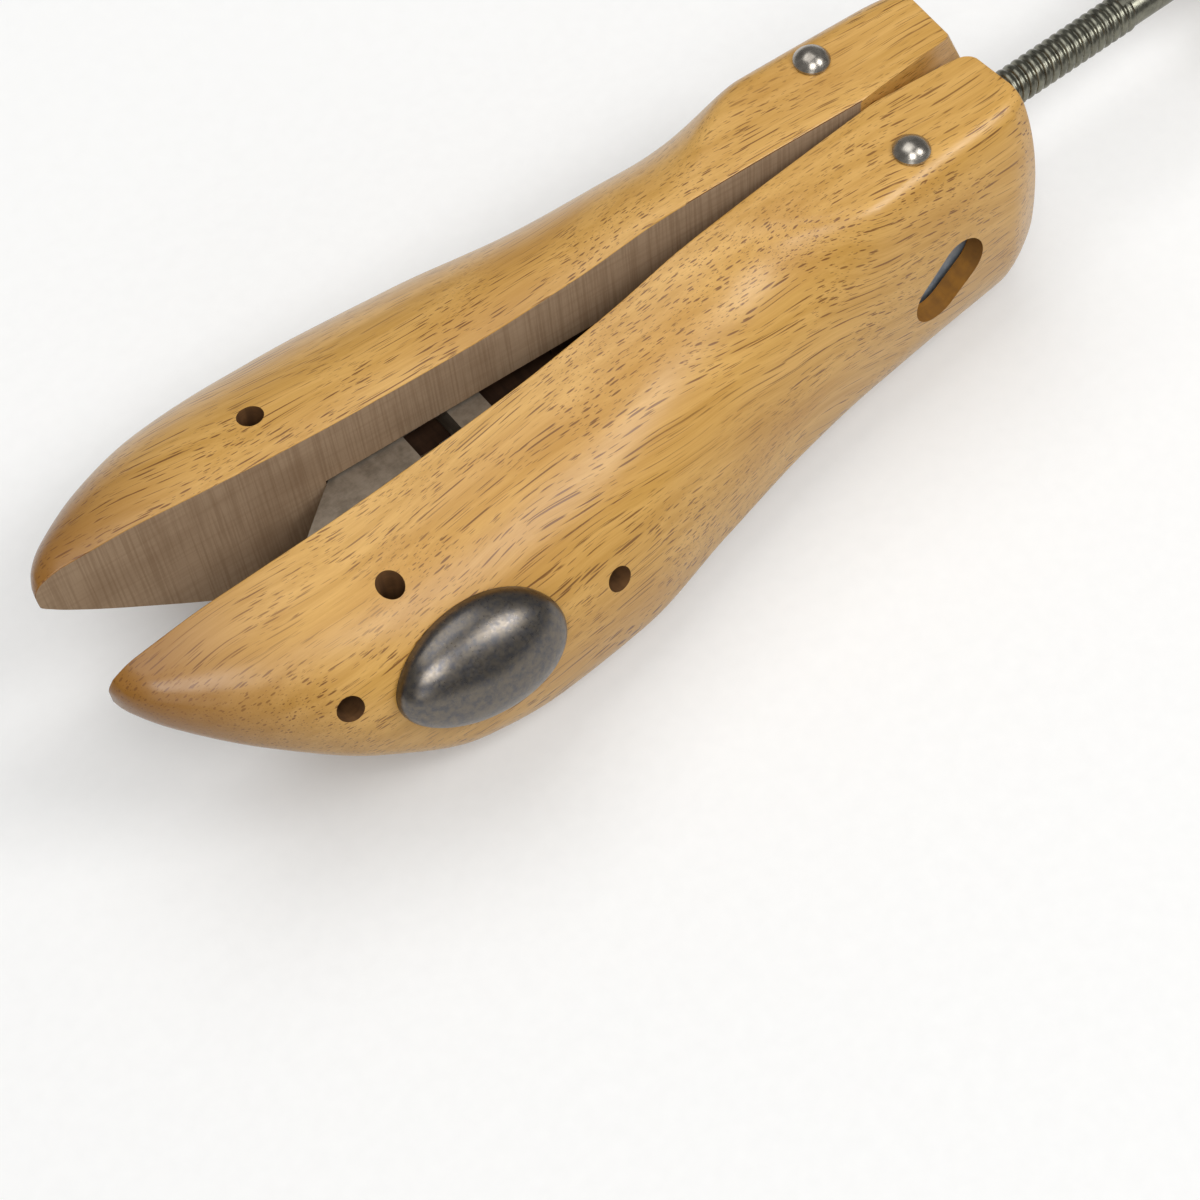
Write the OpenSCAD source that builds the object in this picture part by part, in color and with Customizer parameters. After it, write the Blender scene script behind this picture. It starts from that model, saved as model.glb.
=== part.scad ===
// Shoe stretcher: a last sawn into two wood halves, hinged at the heel and spread by a wedge on a
// threaded spindle.
// Toe at -X, handle at +X, far half at +Y, near half at -Y. It stands on its sole at Z = 0.
// The pieces are drawn about the hinge line, and seat() moves them to the middle of the whole object.

/* [Last] */
// Length of the wood from the hinge line to the toe tip
toe_len = 171.5; // [168:0.5:175]
// Length of the wood from the hinge line to the back of the heel
heel_len = 32; // [31:0.5:33]
// Width across the ball with the halves closed
ball_w = 72; // [70:0.5:76]
// Height of the flat top of the heel
plateau_z = 54; // [53:0.5:56]
// Half width of the flat top of the heel
plateau_half_w = 18.4; // [17:0.1:20]
// Gap between the sawn faces when the halves are closed
saw_gap = 1.7; // [1.4:0.1:2.4]
// Opening of each half in the photographed position
open_rest = 3.6; // [2:0.1:5]
// Greatest opening of each half
open_max = 7.6; // [6:0.1:8]
// Angle of the face cut away behind the hinge on the far half
far_relief = 7; // [6.8:0.1:9]
// Angle of the face cut away behind the hinge on the near half
near_relief = 9.4; // [8.2:0.1:10]

/* [Hinge] */
// Distance of each rivet from the middle
pivot_y = 14; // [13.5:0.1:14.5]
// Diameter of the rivet shanks
rivet_d = 4.8; // [4.4:0.1:5]
// Diameter of the rivet heads
rivet_head_d = 7; // [6.5:0.1:8]
// Half width of the steel yoke
yoke_half_w = 21.5; // [21:0.1:22]
// Half height of the steel yoke
yoke_half_h = 12; // [11:0.1:12.5]
// Thickness of the yoke's sheet
sheet_t = 2.5; // [2:0.1:3]

/* [Spindle] */
// Height of the spindle's axis above the sole
rod_z = 30.2; // [29:0.1:31]
// Diameter over the thread's crests
thread_d = 8; // [7.6:0.1:8.2]
// Distance from one crest to the next
pitch = 2; // [1.8:0.1:2.2]
// Depth of the rolled thread
thread_depth = 0.55; // [0.4:0.05:0.6]
// Diameter of the plain shank
shank_d = 7.3; // [7.2:0.1:7.5]
// Where the thread ends, behind the hinge line
thread_end_x = 67; // [60:1:70]

/* [Wedge] */
// Half width of the wedge's body
wedge_half_w = 18; // [17.5:0.1:18.5]
// Thickness of the wedge
wedge_t = 7.6; // [7:0.1:8]
// Length of the window in the wedge
window_len = 9.3; // [9:0.1:10]
// Length of the bridge behind the window
bridge_len = 7; // [6.5:0.1:8]
// Clearance between the wedge's nose and the wood
nose_gap = 0.15; // [0.1:0.05:0.3]
// Distance from the hinge line to the front edge of the wedge's recess
recess_x = 116.5; // [115:0.5:118]

/* [Bunion plug] */
// Length of the egg-shaped dome
plug_len = 33.5; // [31:0.5:35]
// Width of the dome
plug_w = 22.3; // [21:0.1:24]
// Height of the dome over the wood
plug_h = 7; // [6:0.5:8]
// Turn of the dome about its peg
plug_turn = 9; // [0:1:12]
// Diameter of the peg holes in the wood
peg_hole_d = 5; // [4.8:0.1:5.4]

/* [Handle] */
// Length of the cross grip
grip_len = 100; // [98:1:110]
// Greatest diameter of the grip
grip_d = 19; // [17:0.5:22]
// Distance of the grip's middle behind the hinge line
grip_x = 116; // [112:1:130]

/* [Hidden] */
$fn = 48;
face_y = saw_gap / 2;

// Stations of the closed half, toe to heel: distance from the hinge line, half width, height of the
// top, height of the bottom and height of the widest point, in millimetres
kx = toe_len / 171.5;
kw = ball_w / 72;
kh = heel_len / 32;
stations = [
    [-171.5 * kx, 1.6, 49.0, 45.5, 47.2],
    [-170 * kx, 6.0 * kw, 51.4, 43.2, 46.5],
    [-165 * kx, 12.2 * kw, 52.8, 38.0, 43.0],
    [-155 * kx, 20.8 * kw, 52.9, 29.0, 36.5],
    [-140 * kx, 29.6 * kw, 51.6, 16.5, 27.5],
    [-122 * kx, 34.8 * kw, 49.8, 4.2, 19.5],
    [-105 * kx, 36 * kw, 49.0, -0.8, 17.0],
    [-85 * kx, 35.4 * kw, 48.8, -0.5, 15.0],
    [-62 * kx, 31.6 * kw, 50.4, 4.0, 14.0],
    [-40, 28.6 * kw, plateau_z - 0.5, 4.6, 15.5],
    [-18, 27.1 * kw, plateau_z, 1.2, 19.0],
    [0, 27.0 * kw, plateau_z, -0.7, 23.0],
    [15 * kh, 26.9 * kw, plateau_z, -0.7, 24.0],
    [23.8 * kh, 24.0 * kw, plateau_z - 0.2, 1.7, 25.0],
    [26.2 * kh, 21.4 * kw, plateau_z - 5.5, 3.4, 25.7],
    [29 * kh, 17.2 * kw, plateau_z - 12.5, 6.2, 26.4],
    [heel_len, 7.5 * kw, 34.5, 14.5, 27.0]];
last_row = len(stations) - 1;

// Smooth curve through one column of the stations, without overshoot
function seg(x, i = 0) = (i >= last_row - 1 || x <= stations[i + 1][0]) ? i : seg(x, i + 1);
function rise(i, c) =
    (stations[i + 1][c] - stations[i][c]) / (stations[i + 1][0] - stations[i][0]);
function tangent(i, c) =
    i == 0 ? rise(0, c) :
    i == last_row ? rise(last_row - 1, c) :
    rise(i - 1, c) * rise(i, c) <= 0 ? 0 :
    2 * rise(i - 1, c) * rise(i, c) / (rise(i - 1, c) + rise(i, c));
function along(x, c) =
    let (i = seg(x), h = stations[i + 1][0] - stations[i][0], t = (x - stations[i][0]) / h)
    let (a = stations[i][c], b = stations[i + 1][c], m = h * tangent(i, c), n = h * tangent(i + 1, c))
    a * (2 * pow(t, 3) - 3 * pow(t, 2) + 1) + m * (pow(t, 3) - 2 * pow(t, 2) + t)
    + b * (3 * pow(t, 2) - 2 * pow(t, 3)) + n * (pow(t, 3) - pow(t, 2));
function ease(t) = let (u = min(max(t, 0), 1)) u * u * (3 - 2 * u);

// One section of a half: up the sawn face, out along the flat top, down the side and in under the sole
up_steps = 11;
down_steps = 12;
round_up = 2.2;
round_down = 2.5;
function section(x) =
    let (w = along(x, 1), top = along(x, 2), low = along(x, 3), mid = along(x, 4))
    let (crease = crease_at(x), top_y = min(top_edge_y(x), 0.72 * w))
    let (end_cos = pow(cos(crease), 2 / round_up), end_sin = pow(sin(crease), 2 / round_up))
    concat(
        [[x, face_y, low], [x, face_y, top]],
        [for (k = [up_steps:-1:0]) let (a = crease * k / up_steps)
            [x, top_y + (w - top_y) * (pow(cos(a), 2 / round_up) - end_cos) / (1 - end_cos),
             mid + (top - mid) * pow(sin(a), 2 / round_up) / end_sin]],
        [for (k = [1:down_steps - 1]) let (a = 90 * k / down_steps)
            [x, face_y + (w - face_y) * pow(cos(a), 2 / round_down),
             mid - (mid - low) * pow(sin(a), 2 / round_down)]]);

// Sections lie closer together toward both ends
sections = 58;
function section_x(i) =
    let (t = i / (sections - 1), s = 0.5 - 0.5 * cos(180 * t))
    -toe_len + (toe_len + heel_len) * (0.45 * t + 0.55 * s);
ring = len(section(0));
half_points = [for (i = [0:sections - 1]) each section(section_x(i))];
half_faces = concat(
    [for (i = [0:sections - 2], j = [0:ring - 1]) let (a = i * ring + j, b = i * ring + (j + 1) % ring)
        each [[a, b, a + ring], [b, b + ring, a + ring]]],
    [[for (j = [ring - 1:-1:0]) j]],
    [[for (j = [0:ring - 1]) (sections - 1) * ring + j]]);

// Half width of a closed half at a height above or below its widest point
function flat_share(x) = ease((x + 46) / 34);
function crease_at(x) = 90 - 29 * ease((x + 45) / 30);
function top_edge_y(x) = face_y + 0.4 + (plateau_half_w - face_y - 0.4) * flat_share(x);
function upper_y(x, z) =
    let (w = along(x, 1), top = along(x, 2), mid = along(x, 4), crease = crease_at(x))
    let (a = asin(min(1, pow((z - mid) / (top - mid), round_up / 2) * sin(crease))))
    let (end_cos = pow(cos(crease), 2 / round_up), y0 = top_edge_y(x))
    y0 + (w - y0) * (pow(cos(a), 2 / round_up) - end_cos) / (1 - end_cos);
function lower_y(x, z) =
    let (w = along(x, 1), low = along(x, 3), mid = along(x, 4))
    let (a = asin(min(1, pow((mid - z) / (mid - low), round_down / 2))))
    face_y + (w - face_y) * pow(cos(a), 2 / round_down);
function skin_y(x, z) = z > along(x, 4) ? upper_y(x, z) : lower_y(x, z);

// Peg holes in the outer side: distance in front of the hinge line, height, and the lean of the axis
peg_spots = [[-142, 39.5, 28, 12], [-118.6, 34.4, 34, 1.5], [-88.8, 29.3, 22, -3.5]];
plug_spot = 1;
peg_depth = 15;
top_pegs = [[-123.3, 11.2], [-124.1, 16.2]];

// Wedge: the nose follows the recess edge as the half opens, at a constant rate
wedge_rate = 160;
wedge_open_x = (open_max - open_rest) * PI / 180 * wedge_rate;
wedge_close_x = open_rest * PI / 180 * wedge_rate;
function edge_x(a) = -recess_x * cos(a) - (pivot_y - face_y) * sin(a);
function edge_y(a) = pivot_y - (pivot_y - face_y) * cos(a) + recess_x * sin(a);
function nose_x(a) = edge_x(a) + (a - open_rest) * PI / 180 * wedge_rate;
nose_lean = atan2(edge_y(open_max) - edge_y(0), nose_x(open_max) - nose_x(0));
nose_steps = 8;
nose_side = [for (k = [0:nose_steps]) let (a = open_max * k / nose_steps)
    [nose_x(a) + nose_gap * sin(nose_lean), edge_y(a) - nose_gap * cos(nose_lean)]];
nose_last = nose_side[nose_steps];
shoulder_x = nose_last[0] + wedge_half_w - nose_last[1];
wedge_back_x = -84.5;
window_back_x = wedge_back_x - bridge_len;
window_half_w = 12;
journal_d = 4.6;
journal_gap = 0.1;

// Recess for the wedge and channel for the spindle, milled in the sawn face of each half
channel_half_h = 4.4;
recess_back_x = -66;
recess_depth = wedge_half_w + 1.2;
channel_depth = 5.2;

// Pocket for the yoke
pocket_y = yoke_half_w + 1.2;
pocket_half_h = yoke_half_h + 0.7;
pocket_front_x = -10;
pocket_back_x = 12.8;
pocket_corner = 3;

// Where the faces cut away behind the hinge begin
relief_x = 1.5;
function relief_of(side) = side > 0 ? far_relief : near_relief;
function relief_y(side, x) = face_y + (x - relief_x) * tan(relief_of(side));

// Round corner between that face and the sloping back of the heel
function heel_round(side) = side > 0 ? 1.6 : 3.2;
heel_edge = stations[13];
heel_lean = atan2(stations[last_row][0] - heel_edge[0], heel_edge[2] - stations[last_row][2]);

// Oval window in the side of the heel
side_slot_w = 11.7;
side_slot_len = 18.5;
side_slot_x = -1.3;
side_slot_z = 28.9;
side_slot_lean = 53;

// Rivets
rivet_hole_d = rivet_d + 0.2;
rivet_head_h = 2.4;
rivet_gap = 0.1;
counterbore_d = 11;
counterbore_h = 3.6;
washer_d = 9.6;
washer_t = 1;
tail_d = 7;
tail_h = 1.6;

// Yoke and bush
web_x = 6;
web_half_w = 14;
yoke_front_x = -7.4;
yoke_back_x = web_x + sheet_t;
flange_t = 2;
flange_foot_x = 2.6;
flange_foot_z = -12.3;
flange_notch_z = -2.1;
bend_r = 3.2;
plate_half_w = yoke_half_w - 1.4;
bush_d = 13;
bush_front_x = 0.5;
bush_back_x = 10.2;
bush_seat_d = 10;
bush_bore_d = thread_d + 0.18;

// Spindle
shoulder_ring = 4.2;
ring_over = 0.05;
turn_steps = 12;
tip_x = window_back_x - 6.6;
collar_x = window_back_x - 4.4;
collar_len = 4;
collar_d = 7.4;
thrust_t = 1;
collar_pin_d = 1.5;
shoulder_x0 = wedge_back_x + thrust_t;
thread_x0 = shoulder_x0 + shoulder_ring;

// Bunion plug: the rim follows the wood's skin a little way off, and the dome rises over it
stem_d = 4.8;
stem_len = 12;
stem_seat = 3.5;
rim_t = 0.9;
rim_gap = 0.35;
dome_sides = 32;
dome_rings = 6;
plug_at = peg_spots[plug_spot];
plug_origin = [plug_at[0], skin_y(plug_at[0], plug_at[1]), plug_at[1]];
plug_x = [cos(plug_at[3]), sin(plug_at[3]), 0];
plug_out = [-sin(plug_at[3]) * cos(plug_at[2]), cos(plug_at[3]) * cos(plug_at[2]), sin(plug_at[2])];
plug_down = cross(plug_out, plug_x);
function egg(a, r) = let (u = plug_len / 2 * r * cos(a), v = plug_w / 2 * r * sin(a) * (1 + 0.1 * cos(a)))
    [u * cos(plug_turn) - v * sin(plug_turn), u * sin(plug_turn) + v * cos(plug_turn)];
function over_skin(q, h) =
    let (p = plug_origin + q[0] * plug_x + q[1] * plug_down + h * plug_out) p[1] - skin_y(p[0], p[2]);
function skin_level(q, lo = -9, hi = 5, n = 16) = let (m = (lo + hi) / 2)
    n == 0 ? m : over_skin(q, m) > 0 ? skin_level(q, lo, m, n - 1) : skin_level(q, m, hi, n - 1);
function dome_level(a, r) = let (rim = skin_level(egg(a, 1)) + rim_gap + rim_t)
    rim * r * r + plug_h * pow(1 - r * r, 0.5);

// Handle
spot_face = 1.2;
spot_face_d = 15;
ferrule_len = 9;
ferrule_back_x = grip_x - grip_d / 2 + spot_face;
grip_end_d = 13.5;
bar_gap = 0.05;
washer_x = grip_x + grip_d / 2 - spot_face;
nut_x = washer_x + 1.2;
nut_h = 5;
nut_dome_d = 9.4;
tail_screw_d = 6;
grip_pin_d = 3;
grip_steps = 12;
grip_dome = 5;

// Middle of the whole object, from the toe tip of the opened halves to the back of the handle nut
nut_end_x = nut_x + nut_h + nut_dome_d / 2;
front_x = -toe_len * cos(open_rest) - (pivot_y - 1.2) * sin(open_rest);
mid_x = (front_x + nut_end_x) / 2;

module seat() translate([-mid_x, 0, 0]) children();

// A closed half lies at +Y: this opens it by the rest angle, and side -1 mirrors it to the near side
module opened(side) seat() scale_side(side)
    translate([0, pivot_y, 0]) rotate([0, 0, -open_rest]) translate([0, -pivot_y, 0]) children();
module scale_side(side) {
    if (side > 0) children();
    else mirror([0, 1, 0]) children();
}

module along_x(x, d, len) translate([x, 0, rod_z]) rotate([0, 90, 0]) cylinder(d = d, h = len);
module pin_hole(x, d) translate([x, 0, rod_z]) cylinder(d = d, h = 40, center = true);

// Flat shape with round corners, from squares and circles
module round_square(x0, x1, y0, y1, r) {
    translate([x0 + r, y0]) square([x1 - x0 - 2 * r, y1 - y0]);
    translate([x0, y0 + r]) square([x1 - x0, y1 - y0 - 2 * r]);
    for (x = [x0 + r, x1 - r], y = [y0 + r, y1 - r]) translate([x, y]) circle(r = r);
}

// Frame of a peg spot: +Z along the peg's axis out of the wood, +X toward the heel
module at_peg(i) {
    spot = peg_spots[i];
    translate([spot[0], skin_y(spot[0], spot[1]), spot[1]]) rotate([0, 0, spot[3]])
        rotate([-90 + spot[2], 0, 0]) children();
}
module peg_hole(i) at_peg(i) translate([0, 0, -peg_depth]) cylinder(d = peg_hole_d, h = peg_depth + 12);

module yoke_pocket() translate([0, -1, rod_z]) rotate([-90, 0, 0]) linear_extrude(pocket_y + 1)
    round_square(pocket_front_x, pocket_back_x, -pocket_half_h, pocket_half_h, pocket_corner);

module wedge_recess() {
    translate([-recess_x, -1, rod_z - channel_half_h])
        cube([recess_x + recess_back_x, recess_depth + 1, 2 * channel_half_h]);
    translate([recess_back_x - 1, -1, rod_z - channel_half_h])
        cube([-recess_back_x + pocket_front_x + 2, channel_depth + 1, 2 * channel_half_h]);
}

// The spindle leaves through a round channel that widens backward, because the halves close behind
// the hinge as they open in front of it
module rear_channel(side) {
    along_x(pocket_back_x - 1, 2 * channel_depth, heel_len);
    translate([0, pivot_y, rod_z]) rotate([0, 0, open_max + 0.4]) translate([pocket_back_x - 5, -pivot_y, 0])
        rotate([0, 90, 0]) cylinder(r = channel_depth, h = heel_len + 4);
    translate([0, 0, rod_z - channel_depth]) linear_extrude(2 * channel_depth)
        polygon([[pocket_back_x - 1, 0], [heel_len + 2, 0],
                 [heel_len + 2, (heel_len + 2) * tan(relief_of(side))], [pocket_back_x - 1, 2]]);
}

module heel_relief(side) translate([0, 0, -1]) linear_extrude(plateau_z + 4)
    polygon([[relief_x - 1, -1], [heel_len + 4, -1],
             [heel_len + 4, relief_y(side, heel_len + 4)], [relief_x - 1, relief_y(side, relief_x - 1)]]);

module heel_corner(side) translate([heel_edge[0] + 0.4, relief_y(side, heel_edge[0] + 0.4), heel_edge[2]])
    rotate([atan(tan(heel_lean) * tan(relief_of(side))), -heel_lean, 0])
    translate([0, 0, -30]) linear_extrude(40) difference() {
        r = heel_round(side);
        translate([-r, -2]) square([r + 4, 2 + 0.88 * r]);
        translate([-r, 0.88 * r]) circle(r = r);
    }

module side_slot() translate([side_slot_x, pocket_y - 2, side_slot_z]) rotate([0, side_slot_lean, 0])
    rotate([-90, 0, 0]) {
        reach = 16;
        run = side_slot_len - side_slot_w;
        for (s = [-1, 1]) translate([0, s * run / 2, 0]) cylinder(d = side_slot_w, h = reach);
        translate([-side_slot_w / 2, -run / 2, 0]) cube([side_slot_w, run, reach]);
    }

module last_half(side) difference() {
    polyhedron(points = half_points, faces = half_faces, convexity = 8);
    translate([-toe_len - 5, -5, -10]) cube([toe_len + heel_len + 10, ball_w, 10]);
    translate([0, pivot_y, -1]) cylinder(d = rivet_hole_d, h = plateau_z + 4);
    translate([0, pivot_y, -1]) cylinder(d = counterbore_d, h = counterbore_h + 1);
    yoke_pocket();
    wedge_recess();
    rear_channel(side);
    heel_relief(side);
    heel_corner(side);
    side_slot();
    for (i = [0:len(peg_spots) - 1]) peg_hole(i);
    top_peg = top_pegs[side > 0 ? 0 : 1];
    translate([top_peg[0], top_peg[1], along(top_peg[0], 2) - peg_depth])
        cylinder(d = peg_hole_d, h = peg_depth + 6);
}

module far_last_half() color([0.80, 0.62, 0.33]) opened(1) last_half(1);
module near_last_half() color([0.80, 0.62, 0.33]) opened(-1) last_half(-1);

// Yoke: folded sheet over the top and down both sides, a web that carries the bush and a bottom plate
module folded_sheet() rotate([90, 0, 90]) linear_extrude(yoke_back_x - yoke_front_x) difference() {
    round_square(-yoke_half_w, yoke_half_w, -2 * yoke_half_h, yoke_half_h, bend_r);
    round_square(flange_t - yoke_half_w, yoke_half_w - flange_t, -3 * yoke_half_h,
        yoke_half_h - sheet_t, bend_r - flange_t);
}

module hinge_yoke() color([0.62, 0.65, 0.68]) seat() translate([0, 0, rod_z]) difference() {
    union() {
        difference() {
            translate([yoke_front_x, 0, 0]) folded_sheet();
            translate([0, 30, 0]) rotate([90, 0, 0]) linear_extrude(60) polygon([
                [yoke_front_x - 1, flange_foot_z], [flange_foot_x, flange_foot_z],
                [yoke_back_x, flange_notch_z], [yoke_back_x + 1, flange_notch_z],
                [yoke_back_x + 1, -3 * yoke_half_h], [yoke_front_x - 1, -3 * yoke_half_h]]);
        }
        translate([0, 0, -yoke_half_h]) linear_extrude(sheet_t) polygon([
            [yoke_front_x + 0.6, -plate_half_w], [flange_foot_x - 0.6, -plate_half_w],
            [web_x + 1, -web_half_w], [web_x + 1, web_half_w],
            [flange_foot_x - 0.6, plate_half_w], [yoke_front_x + 0.6, plate_half_w]]);
        translate([web_x, -web_half_w, -yoke_half_h])
            cube([sheet_t - 0.4, 2 * web_half_w, 2 * yoke_half_h - 1]);
    }
    rotate([0, 90, 0]) cylinder(d = bush_seat_d, h = 30);
    for (s = [-1, 1]) translate([0, s * pivot_y, -yoke_half_h - 1])
        cylinder(d = rivet_hole_d, h = 2 * yoke_half_h + 2);
}

// The bush is riveted in the web: a flange in front of it, a barrel through it and a lip behind it
module threaded_bush() color([0.78, 0.66, 0.36]) seat() difference() {
    union() {
        along_x(bush_front_x, bush_d, web_x - bush_front_x);
        along_x(web_x - 1, bush_seat_d, sheet_t + 2);
        along_x(yoke_back_x, bush_d - 1, bush_back_x - yoke_back_x);
    }
    along_x(bush_front_x - 1, bush_bore_d, bush_back_x - bush_front_x + 2);
}

// Domed head on the plateau, shank down through wood and yoke, peened tail in the counterbore
module pivot_rivet(side) color([0.85, 0.85, 0.87]) seat() translate([0, side * pivot_y, 0]) {
    shank_z = counterbore_h - washer_t - rivet_gap;
    head_z = plateau_z + rivet_gap;
    dome_r = (pow(rivet_head_d / 2, 2) + pow(rivet_head_h - 0.5, 2)) / (2 * (rivet_head_h - 0.5));
    translate([0, 0, shank_z]) cylinder(d = rivet_d, h = head_z - shank_z);
    translate([0, 0, head_z]) cylinder(d = rivet_head_d, h = 0.5);
    intersection() {
        translate([0, 0, head_z + rivet_head_h - dome_r]) sphere(r = dome_r);
        translate([0, 0, head_z + 0.5]) cylinder(d = rivet_head_d, h = rivet_head_h);
    }
    tail_r = (pow(tail_d / 2, 2) + pow(tail_h, 2)) / (2 * tail_h);
    intersection() {
        translate([0, 0, shank_z - tail_h + tail_r]) sphere(r = tail_r);
        translate([0, 0, shank_z - tail_h - 1]) cylinder(d = tail_d, h = tail_h + 1);
    }
}
module far_pivot_rivet() pivot_rivet(1);
module near_pivot_rivet() pivot_rivet(-1);

module rivet_washers() color([0.75, 0.76, 0.78]) seat() for (s = [-1, 1])
    translate([0, s * pivot_y, counterbore_h - washer_t - rivet_gap]) difference() {
        cylinder(d = washer_d, h = washer_t);
        translate([0, 0, -1]) cylinder(d = rivet_d, h = washer_t + 2);
    }

// Torsion spring round each rivet inside the yoke: its lower leg runs forward to the pocket's front wall,
// and its upper leg turns back toward the web
spring_wire = 1.2;
spring_r = 3.6;
spring_lift = 1.7;
spring_z = rod_z - 8.4;
spring_sides = 6;
spring_steps = 16;
spring_count = 4 * spring_steps + 2;
spring_leg = -pocket_front_x - 0.1;
spring_tail = 3.4;
function spring_ring(p, dir) =
    let (n = [-dir[1], dir[0], 0])
    [for (k = [0:spring_sides - 1]) let (a = 360 * k / spring_sides)
        p + spring_wire / 2 * (cos(a) * n / norm(n) + [0, 0, sin(a)])];
function coil_angle(k) = 360 * k / spring_steps - 90;
function coil_spot(k) = let (a = coil_angle(k))
    [spring_r * cos(a), spring_r * sin(a), spring_lift * k / spring_steps];
function coil_dir(k) = let (a = coil_angle(k)) [-sin(a), cos(a), 0];
spring_path = concat(
    [[-spring_leg, -spring_r, 0]],
    [for (k = [0:spring_count]) coil_spot(k)],
    [coil_spot(spring_count) + spring_tail * coil_dir(spring_count)]);
spring_dirs = concat([[1, 0, 0]], [for (k = [0:spring_count]) coil_dir(k)], [coil_dir(spring_count)]);
spring_points = [for (i = [0:len(spring_path) - 1]) each spring_ring(spring_path[i], spring_dirs[i])];
spring_faces = let (n = spring_sides, m = len(spring_path)) concat(
    [for (i = [0:m - 2], j = [0:n - 1]) let (a = i * n + j, b = i * n + (j + 1) % n)
        each [[a, a + n, b], [b, a + n, b + n]]],
    [[for (j = [0:n - 1]) j]],
    [[for (j = [n - 1:-1:0]) (m - 1) * n + j]]);
module return_spring(side) color([0.45, 0.46, 0.48]) opened(side)
    translate([0, pivot_y, spring_z]) polyhedron(points = spring_points, faces = spring_faces, convexity = 8);
module far_return_spring() return_spring(1);
module near_return_spring() return_spring(-1);

module wedge_block() color([0.55, 0.55, 0.53]) seat() translate([0, 0, rod_z]) difference() {
    translate([0, 0, -wedge_t / 2]) linear_extrude(wedge_t) difference() {
        polygon(concat(
            [for (p = nose_side) p],
            [[shoulder_x, wedge_half_w], [wedge_back_x, wedge_half_w]],
            [[wedge_back_x, -wedge_half_w], [shoulder_x, -wedge_half_w]],
            [for (k = [nose_steps:-1:0]) [nose_side[k][0], -nose_side[k][1]]]));
        translate([window_back_x - window_len, -window_half_w]) square([window_len, 2 * window_half_w]);
    }
    rotate([0, 90, 0]) translate([0, 0, window_back_x - 1])
        cylinder(d = journal_d + 2 * journal_gap, h = bridge_len + 2);
}

// Rolled thread: a strip of facets wound from end to end, with its two ends inside plain rings
thread_turns = ceil((thread_end_x - thread_x0) / pitch);
crest_r = thread_d / 2;
root_r = crest_r - thread_depth;
thread_rings = thread_turns * turn_steps;
function thread_spot(k, r, shift) =
    let (a = 360 * k / turn_steps)
    [thread_x0 - pitch * 0.6 + pitch * (k / turn_steps + shift), r * cos(a), r * sin(a)];
thread_points = concat(
    [for (k = [0:thread_rings + turn_steps]) each [thread_spot(k, root_r, 0), thread_spot(k, crest_r, 0.5)]],
    [[thread_x0 - pitch * 0.1, 0, 0], [thread_x0 + pitch * (thread_turns - 0.1), 0, 0]]);
thread_hub = 2 * (thread_rings + turn_steps + 1);
thread_faces = concat(
    [for (k = [0:thread_rings - 1]) let (a = 2 * k, b = 2 * k + 2, c = 2 * (k + turn_steps))
        each [[a, a + 1, b], [b, a + 1, b + 1], [a + 1, c, b + 1], [b + 1, c, c + 2]]],
    [for (k = [0:turn_steps - 1]) [thread_hub, 2 * k, 2 * k + 2]],
    [[thread_hub, 2 * turn_steps, 1], [thread_hub, 1, 0]],
    [for (k = [thread_rings:thread_rings + turn_steps - 1]) [thread_hub + 1, 2 * k + 2, 2 * k]],
    [[thread_hub + 1, 2 * thread_rings, 2 * thread_rings + 1],
     [thread_hub + 1, 2 * thread_rings + 1, 2 * (thread_rings + turn_steps)]]);

module spindle() color([0.60, 0.60, 0.56]) seat() {
    translate([0, 0, rod_z]) polyhedron(points = thread_points, faces = thread_faces, convexity = 6);
    difference() {
        along_x(tip_x, journal_d, shoulder_x0 - tip_x + 1);
        pin_hole(collar_x + collar_len / 2, collar_pin_d);
    }
    along_x(shoulder_x0, thread_d + 2 * ring_over, shoulder_ring);
    along_x(thread_end_x, thread_d + 2 * ring_over, 3.2);
    difference() {
        union() {
            along_x(thread_end_x + 3, shank_d, nut_x - thread_end_x - 3);
            along_x(nut_x - 0.5, tail_screw_d, 6);
        }
        pin_hole(grip_x, grip_pin_d);
    }
}

module thrust_washer() color([0.78, 0.66, 0.36]) seat() difference() {
    along_x(wedge_back_x, thread_d, thrust_t);
    along_x(wedge_back_x - 1, journal_d, thrust_t + 2);
}

module retaining_collar() color([0.66, 0.67, 0.68]) seat() difference() {
    along_x(collar_x, collar_d, collar_len);
    along_x(collar_x - 1, journal_d, collar_len + 2);
    pin_hole(collar_x + collar_len / 2, collar_pin_d);
}

module collar_pin() color([0.80, 0.80, 0.82]) seat()
    translate([collar_x + collar_len / 2, 0, rod_z])
        cylinder(d = collar_pin_d, h = collar_d - 0.2, center = true);

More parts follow.
